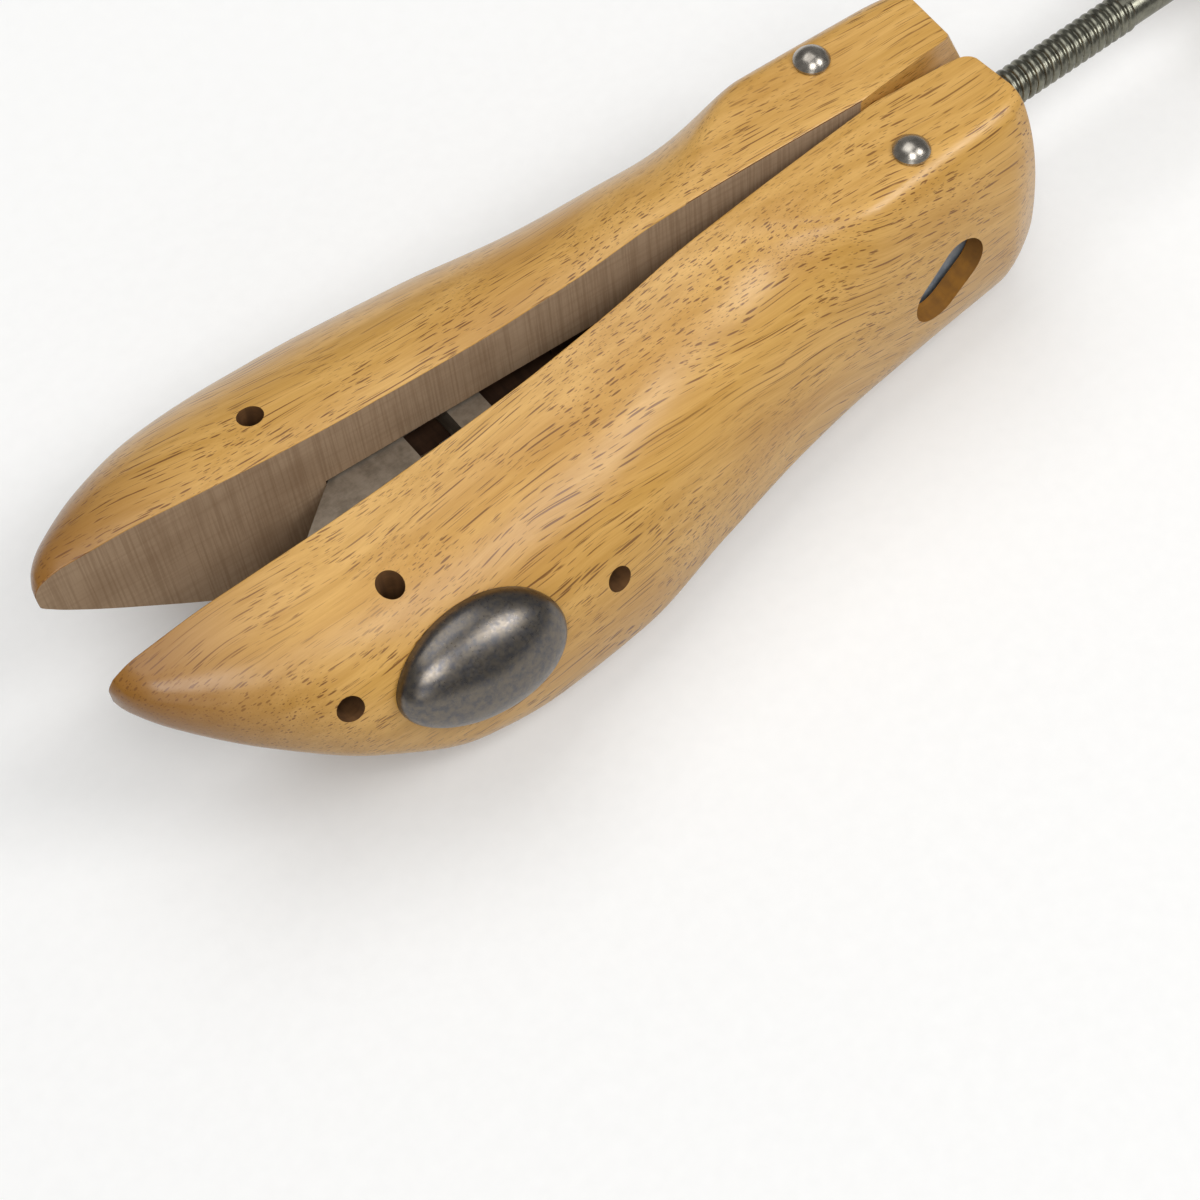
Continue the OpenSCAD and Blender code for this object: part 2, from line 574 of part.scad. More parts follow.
// The grip is turned: a barrel with domed ends, cross-bored for the spindle and spot-faced on both sides
function grip_r(t) = grip_end_d / 2 + (grip_d - grip_end_d) / 2 * cos(90 * t);
module handle_grip() color([0.78, 0.58, 0.30]) seat() translate([grip_x, 0, rod_z]) difference() {
    rotate([90, 0, 0]) rotate_extrude() polygon(concat(
        [for (k = [0:6]) let (a = 90 - 15 * k)
            [grip_end_d / 2 * cos(a), -grip_len / 2 + grip_dome - grip_dome * sin(a)]],
        [for (k = [-grip_steps + 1:grip_steps - 1]) let (t = k / grip_steps)
            [grip_r(abs(t)), t * (grip_len / 2 - grip_dome)]],
        [for (k = [0:6]) let (a = 15 * k)
            [grip_end_d / 2 * cos(a), grip_len / 2 - grip_dome + grip_dome * sin(a)]]));
    rotate([0, 90, 0]) cylinder(d = shank_d + 2 * bar_gap, h = 2 * grip_d, center = true);
    for (s = [-1, 1]) translate([s * (grip_d / 2 - spot_face + grip_d / 2), 0, 0]) rotate([0, 90, 0])
        cylinder(d = spot_face_d, h = grip_d, center = true);
    cylinder(d = grip_pin_d, h = 2 * grip_d, center = true);
}

module handle_ferrule() color([0.72, 0.73, 0.75]) seat()
    translate([ferrule_back_x - ferrule_len, 0, rod_z]) rotate([0, 90, 0]) difference() {
        union() {
            cylinder(d1 = 10, d2 = 13.6, h = ferrule_len - 1.5);
            translate([0, 0, ferrule_len - 1.5]) cylinder(d = 14.4, h = 1.5);
        }
        translate([0, 0, -1]) cylinder(d = shank_d, h = ferrule_len + 2);
    }

module handle_washer() color([0.72, 0.73, 0.75]) seat() difference() {
    along_x(washer_x, 14, nut_x - washer_x);
    along_x(washer_x - 1, shank_d, 4);
}

module handle_nut() color([0.80, 0.81, 0.83]) seat() translate([nut_x, 0, rod_z]) rotate([0, 90, 0])
    difference() {
        union() {
            cylinder(d = 11.5, h = nut_h, $fn = 6);
            intersection() {
                translate([0, 0, nut_h]) sphere(d = nut_dome_d);
                translate([0, 0, nut_h - 1]) cylinder(d = nut_dome_d, h = nut_dome_d);
            }
        }
        translate([0, 0, -1]) cylinder(d = tail_screw_d, h = 7.2);
    }

// Straight pin down through grip and shank
module handle_pin() color([0.75, 0.75, 0.77]) seat() translate([grip_x, 0, rod_z])
    cylinder(d = grip_pin_d, h = grip_d - 1.6, center = true);

function dome_spot(a, r, h) = let (q = egg(a, r)) [q[0], q[1], h];
plug_points = concat(
    [[0, 0, plug_h]],
    [for (i = [1:dome_rings], k = [0:dome_sides - 1])
        let (a = 360 * k / dome_sides, r = sin(90 * i / dome_rings))
        dome_spot(a, r, dome_level(a, r))],
    [for (r = [1, 0.66, 0.33], k = [0:dome_sides - 1]) let (a = 360 * k / dome_sides)
        dome_spot(a, r, skin_level(egg(a, r)) + rim_gap)],
    [[0, 0, skin_level([0, 0]) + rim_gap]]);
plug_rows = dome_rings + 3;
plug_last = 1 + plug_rows * dome_sides;
plug_faces = concat(
    [for (k = [0:dome_sides - 1]) [0, 1 + (k + 1) % dome_sides, 1 + k]],
    [for (i = [0:plug_rows - 2], k = [0:dome_sides - 1])
        let (a = 1 + i * dome_sides + k, b = 1 + i * dome_sides + (k + 1) % dome_sides)
        each [[a, b, a + dome_sides], [b, b + dome_sides, a + dome_sides]]],
    [for (k = [0:dome_sides - 1]) let (a = 1 + (plug_rows - 1) * dome_sides)
        [plug_last, a + k, a + (k + 1) % dome_sides]]);
module bunion_plug() color([0.52, 0.53, 0.56]) opened(-1) at_peg(plug_spot) difference() {
    polyhedron(points = plug_points, faces = plug_faces, convexity = 4);
    translate([0, 0, -2]) cylinder(d = stem_d, h = 2 + stem_seat);
}
module plug_stem() color([0.62, 0.62, 0.64]) opened(-1) at_peg(plug_spot)
    translate([0, 0, -stem_len]) cylinder(d = stem_d, h = stem_len + stem_seat);

far_last_half();
near_last_half();
hinge_yoke();
threaded_bush();
far_pivot_rivet();
near_pivot_rivet();
rivet_washers();
far_return_spring();
near_return_spring();
wedge_block();
spindle();
thrust_washer();
retaining_collar();
collar_pin();
bunion_plug();
plug_stem();
handle_grip();
handle_ferrule();
handle_washer();
handle_nut();
handle_pin();
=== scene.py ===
"""Looks of a wooden shoe stretcher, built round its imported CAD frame, in metres."""

import logging
import math
from dataclasses import dataclass, field
from enum import Enum, IntEnum
from typing import Callable, Sequence

import bpy
from mathutils import Matrix, Vector


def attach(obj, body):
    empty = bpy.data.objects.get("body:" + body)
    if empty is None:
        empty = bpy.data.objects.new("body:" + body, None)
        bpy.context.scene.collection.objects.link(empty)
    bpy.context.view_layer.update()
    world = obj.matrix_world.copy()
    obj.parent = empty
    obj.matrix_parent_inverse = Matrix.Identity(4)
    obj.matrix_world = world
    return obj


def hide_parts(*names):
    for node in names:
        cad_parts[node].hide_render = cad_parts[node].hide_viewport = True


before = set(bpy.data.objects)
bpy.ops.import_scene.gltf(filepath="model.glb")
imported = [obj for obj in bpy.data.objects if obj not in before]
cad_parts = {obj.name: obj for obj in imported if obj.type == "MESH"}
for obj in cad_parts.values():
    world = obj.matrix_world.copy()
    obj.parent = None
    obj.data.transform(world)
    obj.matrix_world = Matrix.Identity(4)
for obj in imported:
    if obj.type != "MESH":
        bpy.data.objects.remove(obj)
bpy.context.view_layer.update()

LOG = logging.getLogger("shoe_stretcher")
MM = 0.001
Point = tuple[float, float, float]
Pair = tuple[float, float]
Placer = Callable[[float, float, float], Vector]
Object = bpy.types.Object
Material = bpy.types.Material
Node = bpy.types.Node

# Settings that nodes share
SMOOTH = {"interpolation_type": "SMOOTHSTEP"}
COLOUR = {"data_type": "RGBA"}

# The last, in millimetres about its hinge line, as in the CAD source
MID_X = -18.3827  # middle of the whole part's box
PIVOT_Y = 14.0  # rivet from the middle plane
FACE_Y = 0.85  # sawn face from the middle plane
OPEN_DEG = 3.6  # opening of each half at rest
TOE_X = -171.5
HEEL_X = 32.0
ROD_Z = 30.2  # height of the spindle
PLATEAU_Z = 54.0  # height of the heel's flat top
PLATEAU_HALF_W = 18.4
PLATEAU_X, PLATEAU_RUN = -46.0, 34.0  # where the flat top starts to widen, and over what length
RIDGE_W = 0.4  # width of the flat top in front of that
FLAT_SHARE = 0.72  # most of the half width that the flat top takes
CREASE_DEG = 29.0  # the side's rounding ends this much short of a quarter turn at the plateau
CREASE_X, CREASE_RUN = -45.0, 30.0
RELIEF_X = 1.5  # where the face behind the hinge starts to lean away
HEEL_EDGE = (23.8, 53.8)  # where the heel's back starts to slope down
ROUND_UP = 2.2  # power of the side's rounding above its widest line
ROUND_DOWN = 2.5  # and below it
TOE_POWER = 0.62  # bluntness of the toe's end
# Distance, half width, top, underside and height of the widest line
STATIONS: tuple[tuple[float, ...], ...] = (
    (-171.5, 1.6, 49.0, 45.5, 47.2),
    (-170, 6.0, 51.4, 43.2, 46.5),
    (-165, 12.2, 52.8, 38.0, 43.0),
    (-155, 20.8, 52.9, 29.0, 36.5),
    (-140, 29.6, 51.6, 16.5, 27.5),
    (-122, 34.8, 49.8, 4.2, 19.5),
    (-105, 36, 49.0, -0.8, 17.0),
    (-85, 35.4, 48.8, -0.5, 15.0),
    (-62, 31.6, 50.4, 4.0, 14.0),
    (-40, 28.6, 53.5, 4.6, 15.5),
    (-18, 27.1, 54.0, 1.2, 19.0),
    (0, 27.0, 54.0, -0.7, 23.0),
    (15, 26.9, 54.0, -0.7, 24.0),
    (23.8, 24.0, 53.8, 1.7, 25.0),
    (26.2, 21.4, 48.5, 3.4, 25.7),
    (29, 17.2, 41.5, 6.2, 26.4),
    (32, 7.5, 34.5, 14.5, 27.0),
)


class Zone(IntEnum):
    """Finish of a face of a last half: its place among the half's materials."""

    VARNISHED = 0
    SAWN = 1
    DRILLED = 2
    MILLED = 3
    WINDOW = 4


class Change(Enum):
    """What one mesh does to another."""

    CUT = "DIFFERENCE"
    ADD = "UNION"


class Side(Enum):
    """Which half of the last."""

    FAR = 1
    NEAR = -1

    @property
    def relief(self) -> float:
        """Slope of the face cut away behind the hinge."""
        return math.tan(math.radians(7.0 if self is Side.FAR else 9.4))

    @property
    def heel_round(self) -> float:
        """Radius of the corner between that face and the back of the heel."""
        return 1.6 if self is Side.FAR else 3.2


class Column(Enum):
    """A column of the table of stations."""

    HALF_WIDTH = 1
    TOP = 2
    LOW = 3
    WIDEST = 4


def linear(code: str) -> tuple[float, float, float, float]:
    """Turns an sRGB hex colour into linear RGBA.

    Args:
        code: Six hex digits.

    Returns:
        Linear red, green and blue, and alpha 1.
    """
    parts = [int(code[i : i + 2], 16) / 255 for i in (0, 2, 4)]
    out = [c / 12.92 if c <= 0.04045 else ((c + 0.055) / 1.055) ** 2.4 for c in parts]
    return (out[0], out[1], out[2], 1.0)


def ease(t: float) -> float:
    """Smooth step of t, held between 0 and 1."""
    u = min(max(t, 0.0), 1.0)
    return u * u * (3 - 2 * u)


def tangent(i: int, c: int) -> float:
    """Slope of a station column at a row, without overshoot.

    Args:
        i: Row of the table.
        c: Column of the table.

    Returns:
        Change of the column per millimetre.
    """

    def rise(k: int) -> float:
        """Slope between row k and the next."""
        a, b = STATIONS[k], STATIONS[k + 1]
        return (b[c] - a[c]) / (b[0] - a[0])

    last = len(STATIONS) - 1
    if i in (0, last):
        return rise(min(i, last - 1))
    a, b = rise(i - 1), rise(i)
    return 0.0 if a * b <= 0 else 2 * a * b / (a + b)


def along(x: float, column: Column) -> float:
    """Reads a station column at any distance.

    Args:
        x: Distance from the hinge line.
        column: What to read.

    Returns:
        The value in millimetres.
    """
    c = column.value
    i = 0
    while i < len(STATIONS) - 2 and x > STATIONS[i + 1][0]:
        i += 1
    p, q = STATIONS[i], STATIONS[i + 1]
    h = q[0] - p[0]
    t = (x - p[0]) / h
    if i == 0:
        return p[c] + (q[c] - p[c]) * max(t, 0.0) ** TOE_POWER
    m, n = h * tangent(i, c), h * tangent(i + 1, c)
    t2, t3 = t * t, t * t * t
    return (
        p[c] * (2 * t3 - 3 * t2 + 1)
        + m * (t3 - 2 * t2 + t)
        + q[c] * (3 * t2 - 2 * t3)
        + n * (t3 - t2)
    )


def crease_at(x: float) -> float:
    """Angle in radians at which the side meets the flat top."""
    return math.radians(90 - CREASE_DEG * ease((x - CREASE_X) / CREASE_RUN))


def top_edge_y(x: float, half_width: float) -> float:
    """Half width of the flat top.

    Args:
        x: Distance from the hinge line.
        half_width: Half width of the closed last there.

    Returns:
        Distance of its edge from the middle plane.
    """
    share = ease((x - PLATEAU_X) / PLATEAU_RUN)
    edge = FACE_Y + RIDGE_W + (PLATEAU_HALF_W - FACE_Y - RIDGE_W) * share
    return min(edge, FLAT_SHARE * half_width)


def skin_y(x: float, z: float) -> float:
    """Half width of a closed half's skin.

    Args:
        x: Distance from the hinge line.
        z: Height.

    Returns:
        Distance of the skin from the middle plane.
    """
    w, mid = along(x, Column.HALF_WIDTH), along(x, Column.WIDEST)
    if z > mid:
        top, crease = along(x, Column.TOP), crease_at(x)
        a = math.asin(min(1, ((z - mid) / (top - mid)) ** (ROUND_UP / 2) * math.sin(crease)))
        end = math.cos(crease) ** (2 / ROUND_UP)
        y0 = top_edge_y(x, w)
        return y0 + (w - y0) * (max(math.cos(a), 0) ** (2 / ROUND_UP) - end) / (1 - end)
    low = along(x, Column.LOW)
    a = math.asin(min(1, ((mid - z) / (mid - low)) ** (ROUND_DOWN / 2)))
    return FACE_Y + (w - FACE_Y) * max(math.cos(a), 0) ** (2 / ROUND_DOWN)


def seated(p: Sequence[float]) -> Vector:
    """Moves a point from the hinge frame in millimetres to the row frame in metres."""
    return Vector(((p[0] - MID_X) * MM, p[1] * MM, p[2] * MM))


def opened(p: Sequence[float], side: Side) -> Vector:
    """Opens a point of a closed half by the rest angle.

    Args:
        p: Point of the closed far half, in millimetres.
        side: The half it belongs to.

    Returns:
        The point in the row frame, in metres.
    """
    a = math.radians(OPEN_DEG)
    x, y = p[0], p[1] - PIVOT_Y
    turned = (x * math.cos(a) + y * math.sin(a), y * math.cos(a) - x * math.sin(a) + PIVOT_Y)
    return seated((turned[0], turned[1] * side.value, p[2]))


def closed(v: Vector, side: Side) -> Point:
    """Turns a row-frame point back into the closed far half's millimetres.

    Args:
        v: Point in the row frame, in metres.
        side: The half it belongs to.

    Returns:
        The point in the closed far half.
    """
    a = math.radians(OPEN_DEG)
    x, y = v.x / MM + MID_X, v.y / MM * side.value - PIVOT_Y
    return (
        x * math.cos(a) - y * math.sin(a),
        y * math.cos(a) + x * math.sin(a) + PIVOT_Y,
        v.z / MM,
    )


def new_object(name: str, points: Sequence[Vector], faces: Sequence[Sequence[int]]) -> Object:
    """Makes a mesh object at the origin.

    Args:
        name: Name of the object.
        points: Corners in metres.
        faces: Corner numbers of each face.

    Returns:
        The linked object.
    """
    mesh = bpy.data.meshes.new(name)
    mesh.from_pydata([tuple(p) for p in points], [], [tuple(f) for f in faces])
    mesh.validate()
    obj = bpy.data.objects.new(name, mesh)
    bpy.context.scene.collection.objects.link(obj)
    return obj


def smooth(obj: Object, degrees: float) -> None:
    """Shades a mesh smooth, with sharp edges above an angle.

    Args:
        obj: The mesh object.
        degrees: Least angle of a sharp edge.
    """
    mesh = obj.data
    mesh.polygons.foreach_set("use_smooth", [True] * len(mesh.polygons))
    mesh.set_sharp_from_angle(angle=math.radians(degrees))
    mesh.update()


def combine(body: Object, tools: Sequence[Object], change: Change = Change.CUT) -> None:
    """Cuts meshes out of a body or adds them, one after another, and drops them.

    Args:
        body: What is changed.
        tools: Closed meshes to take away or to add.
        change: Which of the two.
    """
    for tool in tools:
        mod = body.modifiers.new("combine", "BOOLEAN")
        mod.operation = change.value
        mod.solver = "MANIFOLD"
        mod.object = tool
        bake(body)
        old = tool.data
        bpy.data.objects.remove(tool)
        bpy.data.meshes.remove(old)


def bake(obj: Object) -> None:
    """Replaces an object's mesh by the result of its modifiers, and clears them.

    Args:
        obj: The mesh object.
    """
    graph = bpy.context.evaluated_depsgraph_get()
    mesh = bpy.data.meshes.new_from_object(obj.evaluated_get(graph), depsgraph=graph)
    old = obj.data
    obj.modifiers.clear()
    obj.data = mesh
    mesh.name = obj.name
    if isinstance(old, bpy.types.Mesh):
        bpy.data.meshes.remove(old)


def lathe(name: str, profile: Sequence[Pair], place: Placer, steps: int = 96) -> Object:
    """Turns a profile into a closed round solid.

    Args:
        name: Name of the object.
        profile: Pairs of distance along the axis and radius, ends closed by a flat face each.
        place: Gives the row-frame point for an axial distance and two crosswise ones.
        steps: Points round the axis.

    Returns:
        The object.
    """
    points: list[Vector] = []
    for a, r in profile:
        for k in range(steps):
            t = 2 * math.pi * k / steps
            points.append(place(a, r * math.cos(t), r * math.sin(t)))
    faces: list[tuple[int, ...]] = []
    for i in range(len(profile) - 1):
        for k in range(steps):
            n = (k + 1) % steps
            faces.append((i * steps + k, i * steps + n, (i + 1) * steps + n, (i + 1) * steps + k))
    faces.append(tuple(range(steps - 1, -1, -1)))
    faces.append(tuple((len(profile) - 1) * steps + k for k in range(steps)))
    obj = new_object(name, points, faces)
    face_out(obj)
    return obj


def face_out(obj: Object) -> None:
    """Turns a closed mesh's faces outward by the sign of its volume.

    Args:
        obj: The mesh object.
    """
    mesh = obj.data
    volume = 0.0
    mesh.calc_loop_triangles()
    for t in mesh.loop_triangles:
        a, b, c = (mesh.vertices[i].co for i in t.vertices)
        volume += a.dot(b.cross(c))
    if volume < 0:
        mesh.flip_normals()
    mesh.update()


def prism(name: str, outline: Sequence[Pair], low: float, high: float, place: Placer) -> Object:
    """Makes a straight prism.

    Args:
        name: Name of the object.
        outline: Corners of its flat shape.
        low: Start along the third direction.
        high: End along the third direction.
        place: Gives the row-frame point for the two flat coordinates and the third.

    Returns:
        The object.
    """
    n = len(outline)
    points = [place(u, v, low) for u, v in outline] + [place(u, v, high) for u, v in outline]
    faces: list[tuple[int, ...]] = [tuple(range(n - 1, -1, -1)), tuple(range(n, 2 * n))]
    faces += [(k, (k + 1) % n, n + (k + 1) % n, n + k) for k in range(n)]
    obj = new_object(name, points, faces)
    face_out(obj)
    return obj


def rectangle(x0: float, x1: float, y0: float, y1: float) -> list[Pair]:
    """Corners of a rectangle."""
    return [(x0, y0), (x1, y0), (x1, y1), (x0, y1)]


def rounded(x0: float, x1: float, y0: float, y1: float, r: float, steps: int = 8) -> list[Pair]:
    """Outline of a rectangle with round corners.

    Args:
        x0: Lower end in the first direction.
        x1: Upper end in the first direction.
        y0: Lower end in the second direction.
        y1: Upper end in the second direction.
        r: Radius of the corners.
        steps: Facets to a corner.

    Returns:
        Its points in turn.
    """
    out: list[Pair] = []
    corners = ((x1 - r, y1 - r, 0), (x0 + r, y1 - r, 90), (x0 + r, y0 + r, 180), (x1 - r, y0 + r, 270))
    for cx, cy, start in corners:
        for k in range(steps + 1):
            a = math.radians(start + 90 * k / steps)
            out.append((cx + r * math.cos(a), cy + r * math.sin(a)))
    return out


class Nodes:
    """Builds one material's node tree."""

    def __init__(self, name: str) -> None:
        """Starts an empty material with an output.

        Args:
            name: Name of the material.
        """
        self.material = bpy.data.materials.new(name)
        self.material.use_nodes = True
        self.tree = self.material.node_tree
        self.tree.nodes.clear()
        self.output = self.tree.nodes.new("ShaderNodeOutputMaterial")

    def add(self, kind: str, inputs: dict | Sequence | None = None, **settings: object) -> Node:
        """Adds a node, sets its properties and fills or links its inputs.

        Args:
            kind: Node type without its ShaderNode prefix.
            inputs: Values, sockets or nodes, for the first inputs in turn or by name or number. A node
                stands for the first of its outputs that is in use.
            settings: Properties of the node.

        Returns:
            The node.
        """
        node = self.tree.nodes.new("ShaderNode" + kind)
        for key, value in settings.items():
            setattr(node, key, value)
        for key, value in inputs.items() if isinstance(inputs, dict) else enumerate(inputs or ()):
            if isinstance(value, Node):
                value = next(s for s in value.outputs if s.enabled)
            if isinstance(value, bpy.types.NodeSocket):
                self.tree.links.new(value, node.inputs[key])
            else:
                node.inputs[key].default_value = value
        return node

    def place(self, scale: Point, turn: Point = (0, 0, 0), shift: Point = (0, 0, 0)) -> Node:
        """Gives object coordinates in millimetres, turned, shifted and scaled.

        Args:
            scale: Cycles of the pattern to a millimetre in each direction.
            turn: Turn about each axis in degrees.
            shift: Shift in millimetres.

        Returns:
            The node that holds them.
        """
        spot = self.add("TexCoord").outputs["Object"]
        big = self.add("VectorMath", {0: spot, "Scale": 1 / MM}, operation="SCALE")
        radians = tuple(math.radians(t) for t in turn)
        turned = self.add("Mapping", {0: big, "Rotation": radians, "Location": shift})
        return self.add("VectorMath", [turned, scale], operation="MULTIPLY")

    def tinted(self, base: str, layers: Sequence[tuple]) -> Node:
        """Lays colours over one another, each where its own pattern is high.

        Args:
            base: Hex colour at the bottom.
            layers: For each colour its pattern, the pattern's values where it starts and where it is
                full, its greatest share and its hex code.

        Returns:
            The node that holds the colour.
        """
        colour: object = linear(base)
        for pattern, low, high, share, code in layers:
            cover = self.add("MapRange", [pattern, low, high, 0, share], **SMOOTH)
            colour = self.add("Mix", {0: cover, 6: colour, 7: linear(code)}, **COLOUR)
        return colour

    def finish(
        self, inputs: dict, height: Node | None = None, strength: float = 0.2, depth: float = 0.1
    ) -> Material:
        """Adds the surface shader, with bump where a height is given.

        Args:
            inputs: Inputs of the principled shader.
            height: Node that gives a height in millimetres, or None.
            strength: Strength of the bump.
            depth: Bump distance in millimetres.

        Returns:
            The material.
        """
        if height is not None:
            bump = self.add("Bump", {"Height": height, "Strength": strength, "Distance": depth * MM})
            inputs = {**inputs, "Normal": bump}
        shader = self.add("BsdfPrincipled", inputs)
        self.tree.links.new(shader.outputs[0], self.output.inputs[0])
        return self.material


@dataclass(frozen=True)
class VarnishedWood:
    """Clear-varnished light hardwood with long dark pores. Its scales are cycles to a millimetre."""

    name: str
    light: str = "DDAD5F"
    deep: str = "C89745"
    warm: str = "B07A2C"
    tip: str = "85540F"
    pore: str = "70420A"
    turn_deg: float = 0.0
    shift: Point = (0.0, 0.0, 0.0)
    along_y: bool = False
    dip_mm: float = 0.0
    tips: bool = True

    def build(self) -> Material:
        """Builds the material.

        Returns:
            The finished material.
        """
        n = Nodes(self.name)
        bent, axis = self.grain_lines(n)

        def figure(along_grain: float, across: float, detail: float, roughness: float = 0.5) -> Node:
            """Noise drawn out along the grain."""
            spot = n.add("VectorMath", [bent, (along_grain, across, across)], operation="MULTIPLY")
            return n.add("TexNoise", {"Vector": spot, "Scale": 1.0, "Detail": detail, "Roughness": roughness})

        grain = figure(0.012, 0.35, 5.0, 0.62)  # bands 3 mm wide and 80 mm long
        fine = figure(0.10, 3.2, 3.0, 0.6)  # streaks 0.3 mm wide and 10 mm long
        cloud = figure(0.02, 0.05, 2.0)  # warmer areas of 20 by 50 mm
        layers = [
            (grain, 0.30, 0.72, 1, self.deep),
            (cloud, 0.45, 0.75, 0.45, self.warm),
            (fine, 0.35, 0.72, 0.22, self.warm),
        ]
        if self.tips:
            layers.append((axis, -112, -156, 0.9, self.tip))
        base = n.tinted(self.light, layers)
        vessels = self.pores(n, bent, 1.25, 0.25, 0.08)  # 0.8 mm apart, coarser than real so that they show
        hairs = self.pores(n, bent, 2.4, 0.2, 0.1)  # 0.4 mm apart, fainter
        crowded = n.add("MapRange", [figure(0.02, 0.07, 1.0), 0.30, 0.56, 0.5, 1.0], **SMOOTH)
        faint = n.add("Math", [hairs, 0.8], operation="MULTIPLY")
        either = n.add("Math", [vessels, faint], operation="MAXIMUM")
        mask = n.add("Math", [either, crowded], operation="MULTIPLY", use_clamp=True)
        cover = n.add("Math", [mask, 0.88], operation="MULTIPLY")
        colour = n.add("Mix", {0: cover, 6: base, 7: linear(self.pore)}, **COLOUR)
        raised = n.add("Math", [fine, 0.15], operation="MULTIPLY")
        height = n.add("Math", [raised, mask], operation="SUBTRACT")
        look = {
            "Base Color": colour,
            "Roughness": n.add("MapRange", [fine, 0.2, 0.8, 0.34, 0.48], **SMOOTH),
            "Specular IOR Level": 0.4,
            "Coat Weight": 0.5,
            "Coat Roughness": 0.27,
        }
        return n.finish(look, height, 0.25, 0.08)

    def grain_lines(self, n: Nodes) -> tuple[Node, Node]:
        """Bends the coordinates so that the grain sways and dips toward the heel.

        Args:
            n: The node tree.

        Returns:
            Bent grain coordinates in millimetres, and plain distance along the object.
        """
        turn = (0, 0, self.turn_deg + (90 if self.along_y else 0))
        spot = n.place((0.012, 0.03, 0.03), turn, self.shift)
        wave = n.add("TexNoise", {"Vector": spot, "Scale": 1.0, "Detail": 2.0})
        sway = n.add("VectorMath", [wave.outputs["Color"], (0, 14, 22)], operation="MULTIPLY")
        axis = n.add("SeparateXYZ", [n.place((1, 1, 1))])
        down = n.add("MapRange", [axis, -32, 26, 0, self.dip_mm], **SMOOTH)
        side = n.add("MapRange", [axis, -10, 40, 0, self.dip_mm / 2], **SMOOTH)
        bent = n.place((1, 1, 1), turn, self.shift)
        for push in (sway, n.add("CombineXYZ", [0, side, down])):
            bent = n.add("VectorMath", [bent, push], operation="ADD")
        return bent, axis

    def pores(self, n: Nodes, coords: Node, each_mm: float, radius: float, left_out: float) -> Node:
        """Adds one layer of vessels that run along the grain and are cut open by the surface.

        Args:
            n: The node tree.
            coords: Bent grain coordinates in millimetres.
            each_mm: How many vessels lie side by side in a millimetre.
            radius: Vessel radius as a share of their spacing.
            left_out: Share of the vessels left out.

        Returns:
            Mask that is 1 inside a vessel.
        """
        axes = n.add("SeparateXYZ", [coords])
        flat = n.add("CombineXYZ", [axes.outputs[1], axes.outputs[2]])
        cells = n.add("TexVoronoi", {"Vector": flat, "Scale": each_mm}, voronoi_dimensions="2D")
        pick = n.add("SeparateColor", [cells.outputs["Color"]])
        size = n.add("Math", [pick.outputs[1], radius * 0.6, radius * 0.6], operation="MULTIPLY_ADD")
        reach = n.add("Math", [cells.outputs["Distance"], size], operation="DIVIDE")
        inside = n.add("Math", [1.0, reach], operation="SUBTRACT", use_clamp=True)
        spot = n.add("VectorMath", [coords, (0.14, each_mm, each_mm)], operation="MULTIPLY")
        breaks = n.add("TexNoise", {"Vector": spot, "Scale": 1.0, "Detail": 1.0})
        opened_up = n.add("MapRange", [breaks, 0.40, 0.50], **SMOOTH)
        chosen = n.add("Math", [pick.outputs[0], left_out], operation="GREATER_THAN")
        shown = n.add("Math", [opened_up, chosen], operation="MULTIPLY")
        core = n.add("MapRange", [inside, 0.0, 0.4], **SMOOTH)
        return n.add("Math", [core, shown], operation="MULTIPLY")


@dataclass(frozen=True)
class SawnWood:
    """Bare wood with saw or cutter marks across its length."""

    name: str
    base: str = "AF9579"
    dark: str = "866B50"
    turn_deg: float = 0.0
    mark_mm: float = 0.4

    def build(self) -> Material:
        """Builds the material.

        Returns:
            The finished material.
        """
        n = Nodes(self.name)
        scales = (
            ((1 / self.mark_mm, 0.2, 0.05), 2.0),  # marks 5 and 20 mm long
            ((0.08, 1.0, 1.1), 3.0),  # fibres 1 mm wide and 12 mm long
            ((0.05, 0.05, 0.06), 3.0),  # smears 20 mm across
        )
        marks, fibre, smear = (
            n.add("TexNoise", {"Vector": n.place(s, (0, 0, self.turn_deg)), "Scale": 1.0, "Detail": detail})
            for s, detail in scales
        )
        layers = [
            (fibre, 0.35, 0.8, 0.3, self.dark),
            (marks, 0.38, 0.68, 0.45, self.dark),
            (smear, 0.5, 0.8, 0.5, self.dark),
        ]
        look = {"Base Color": n.tinted(self.base, layers), "Roughness": 0.86, "Specular IOR Level": 0.2}
        low = n.add("Math", [fibre, 0.5], operation="MULTIPLY")
        return n.finish(look, n.add("Math", [marks, low], operation="ADD"), 0.5, 0.12)


@dataclass(frozen=True)
class Metal:
    """A bare or plated metal with mottling and fine marks."""

    name: str
    base: str
    dark: str
    roughness: float = 0.3
    spread: float = 0.1
    metallic: float = 1.0
    mottle_mm: float = 2.0
    scratch: Point = (0.4, 4.0, 4.0)
    bump: float = 0.12

    def build(self) -> Material:
        """Builds the material.

        Returns:
            The finished material.
        """
        n = Nodes(self.name)
        s = 1 / self.mottle_mm
        mottle, marks = (
            n.add("TexNoise", {"Vector": n.place(scale), "Scale": 1.0, "Detail": detail, "Roughness": rough})
            for scale, detail, rough in (((s, s, s), 4.0, 0.65), (self.scratch, 3.0, 0.6))
        )
        sheen = [marks, 0.3, 0.75, self.roughness, self.roughness + self.spread]
        look = {
            "Base Color": n.tinted(self.base, [(mottle, 0.35, 0.7, 1, self.dark)]),
            "Metallic": self.metallic,
            "Roughness": n.add("MapRange", sheen, **SMOOTH),
        }
        return n.finish(look, n.add("Math", [marks, mottle], operation="ADD"), self.bump, 0.05)


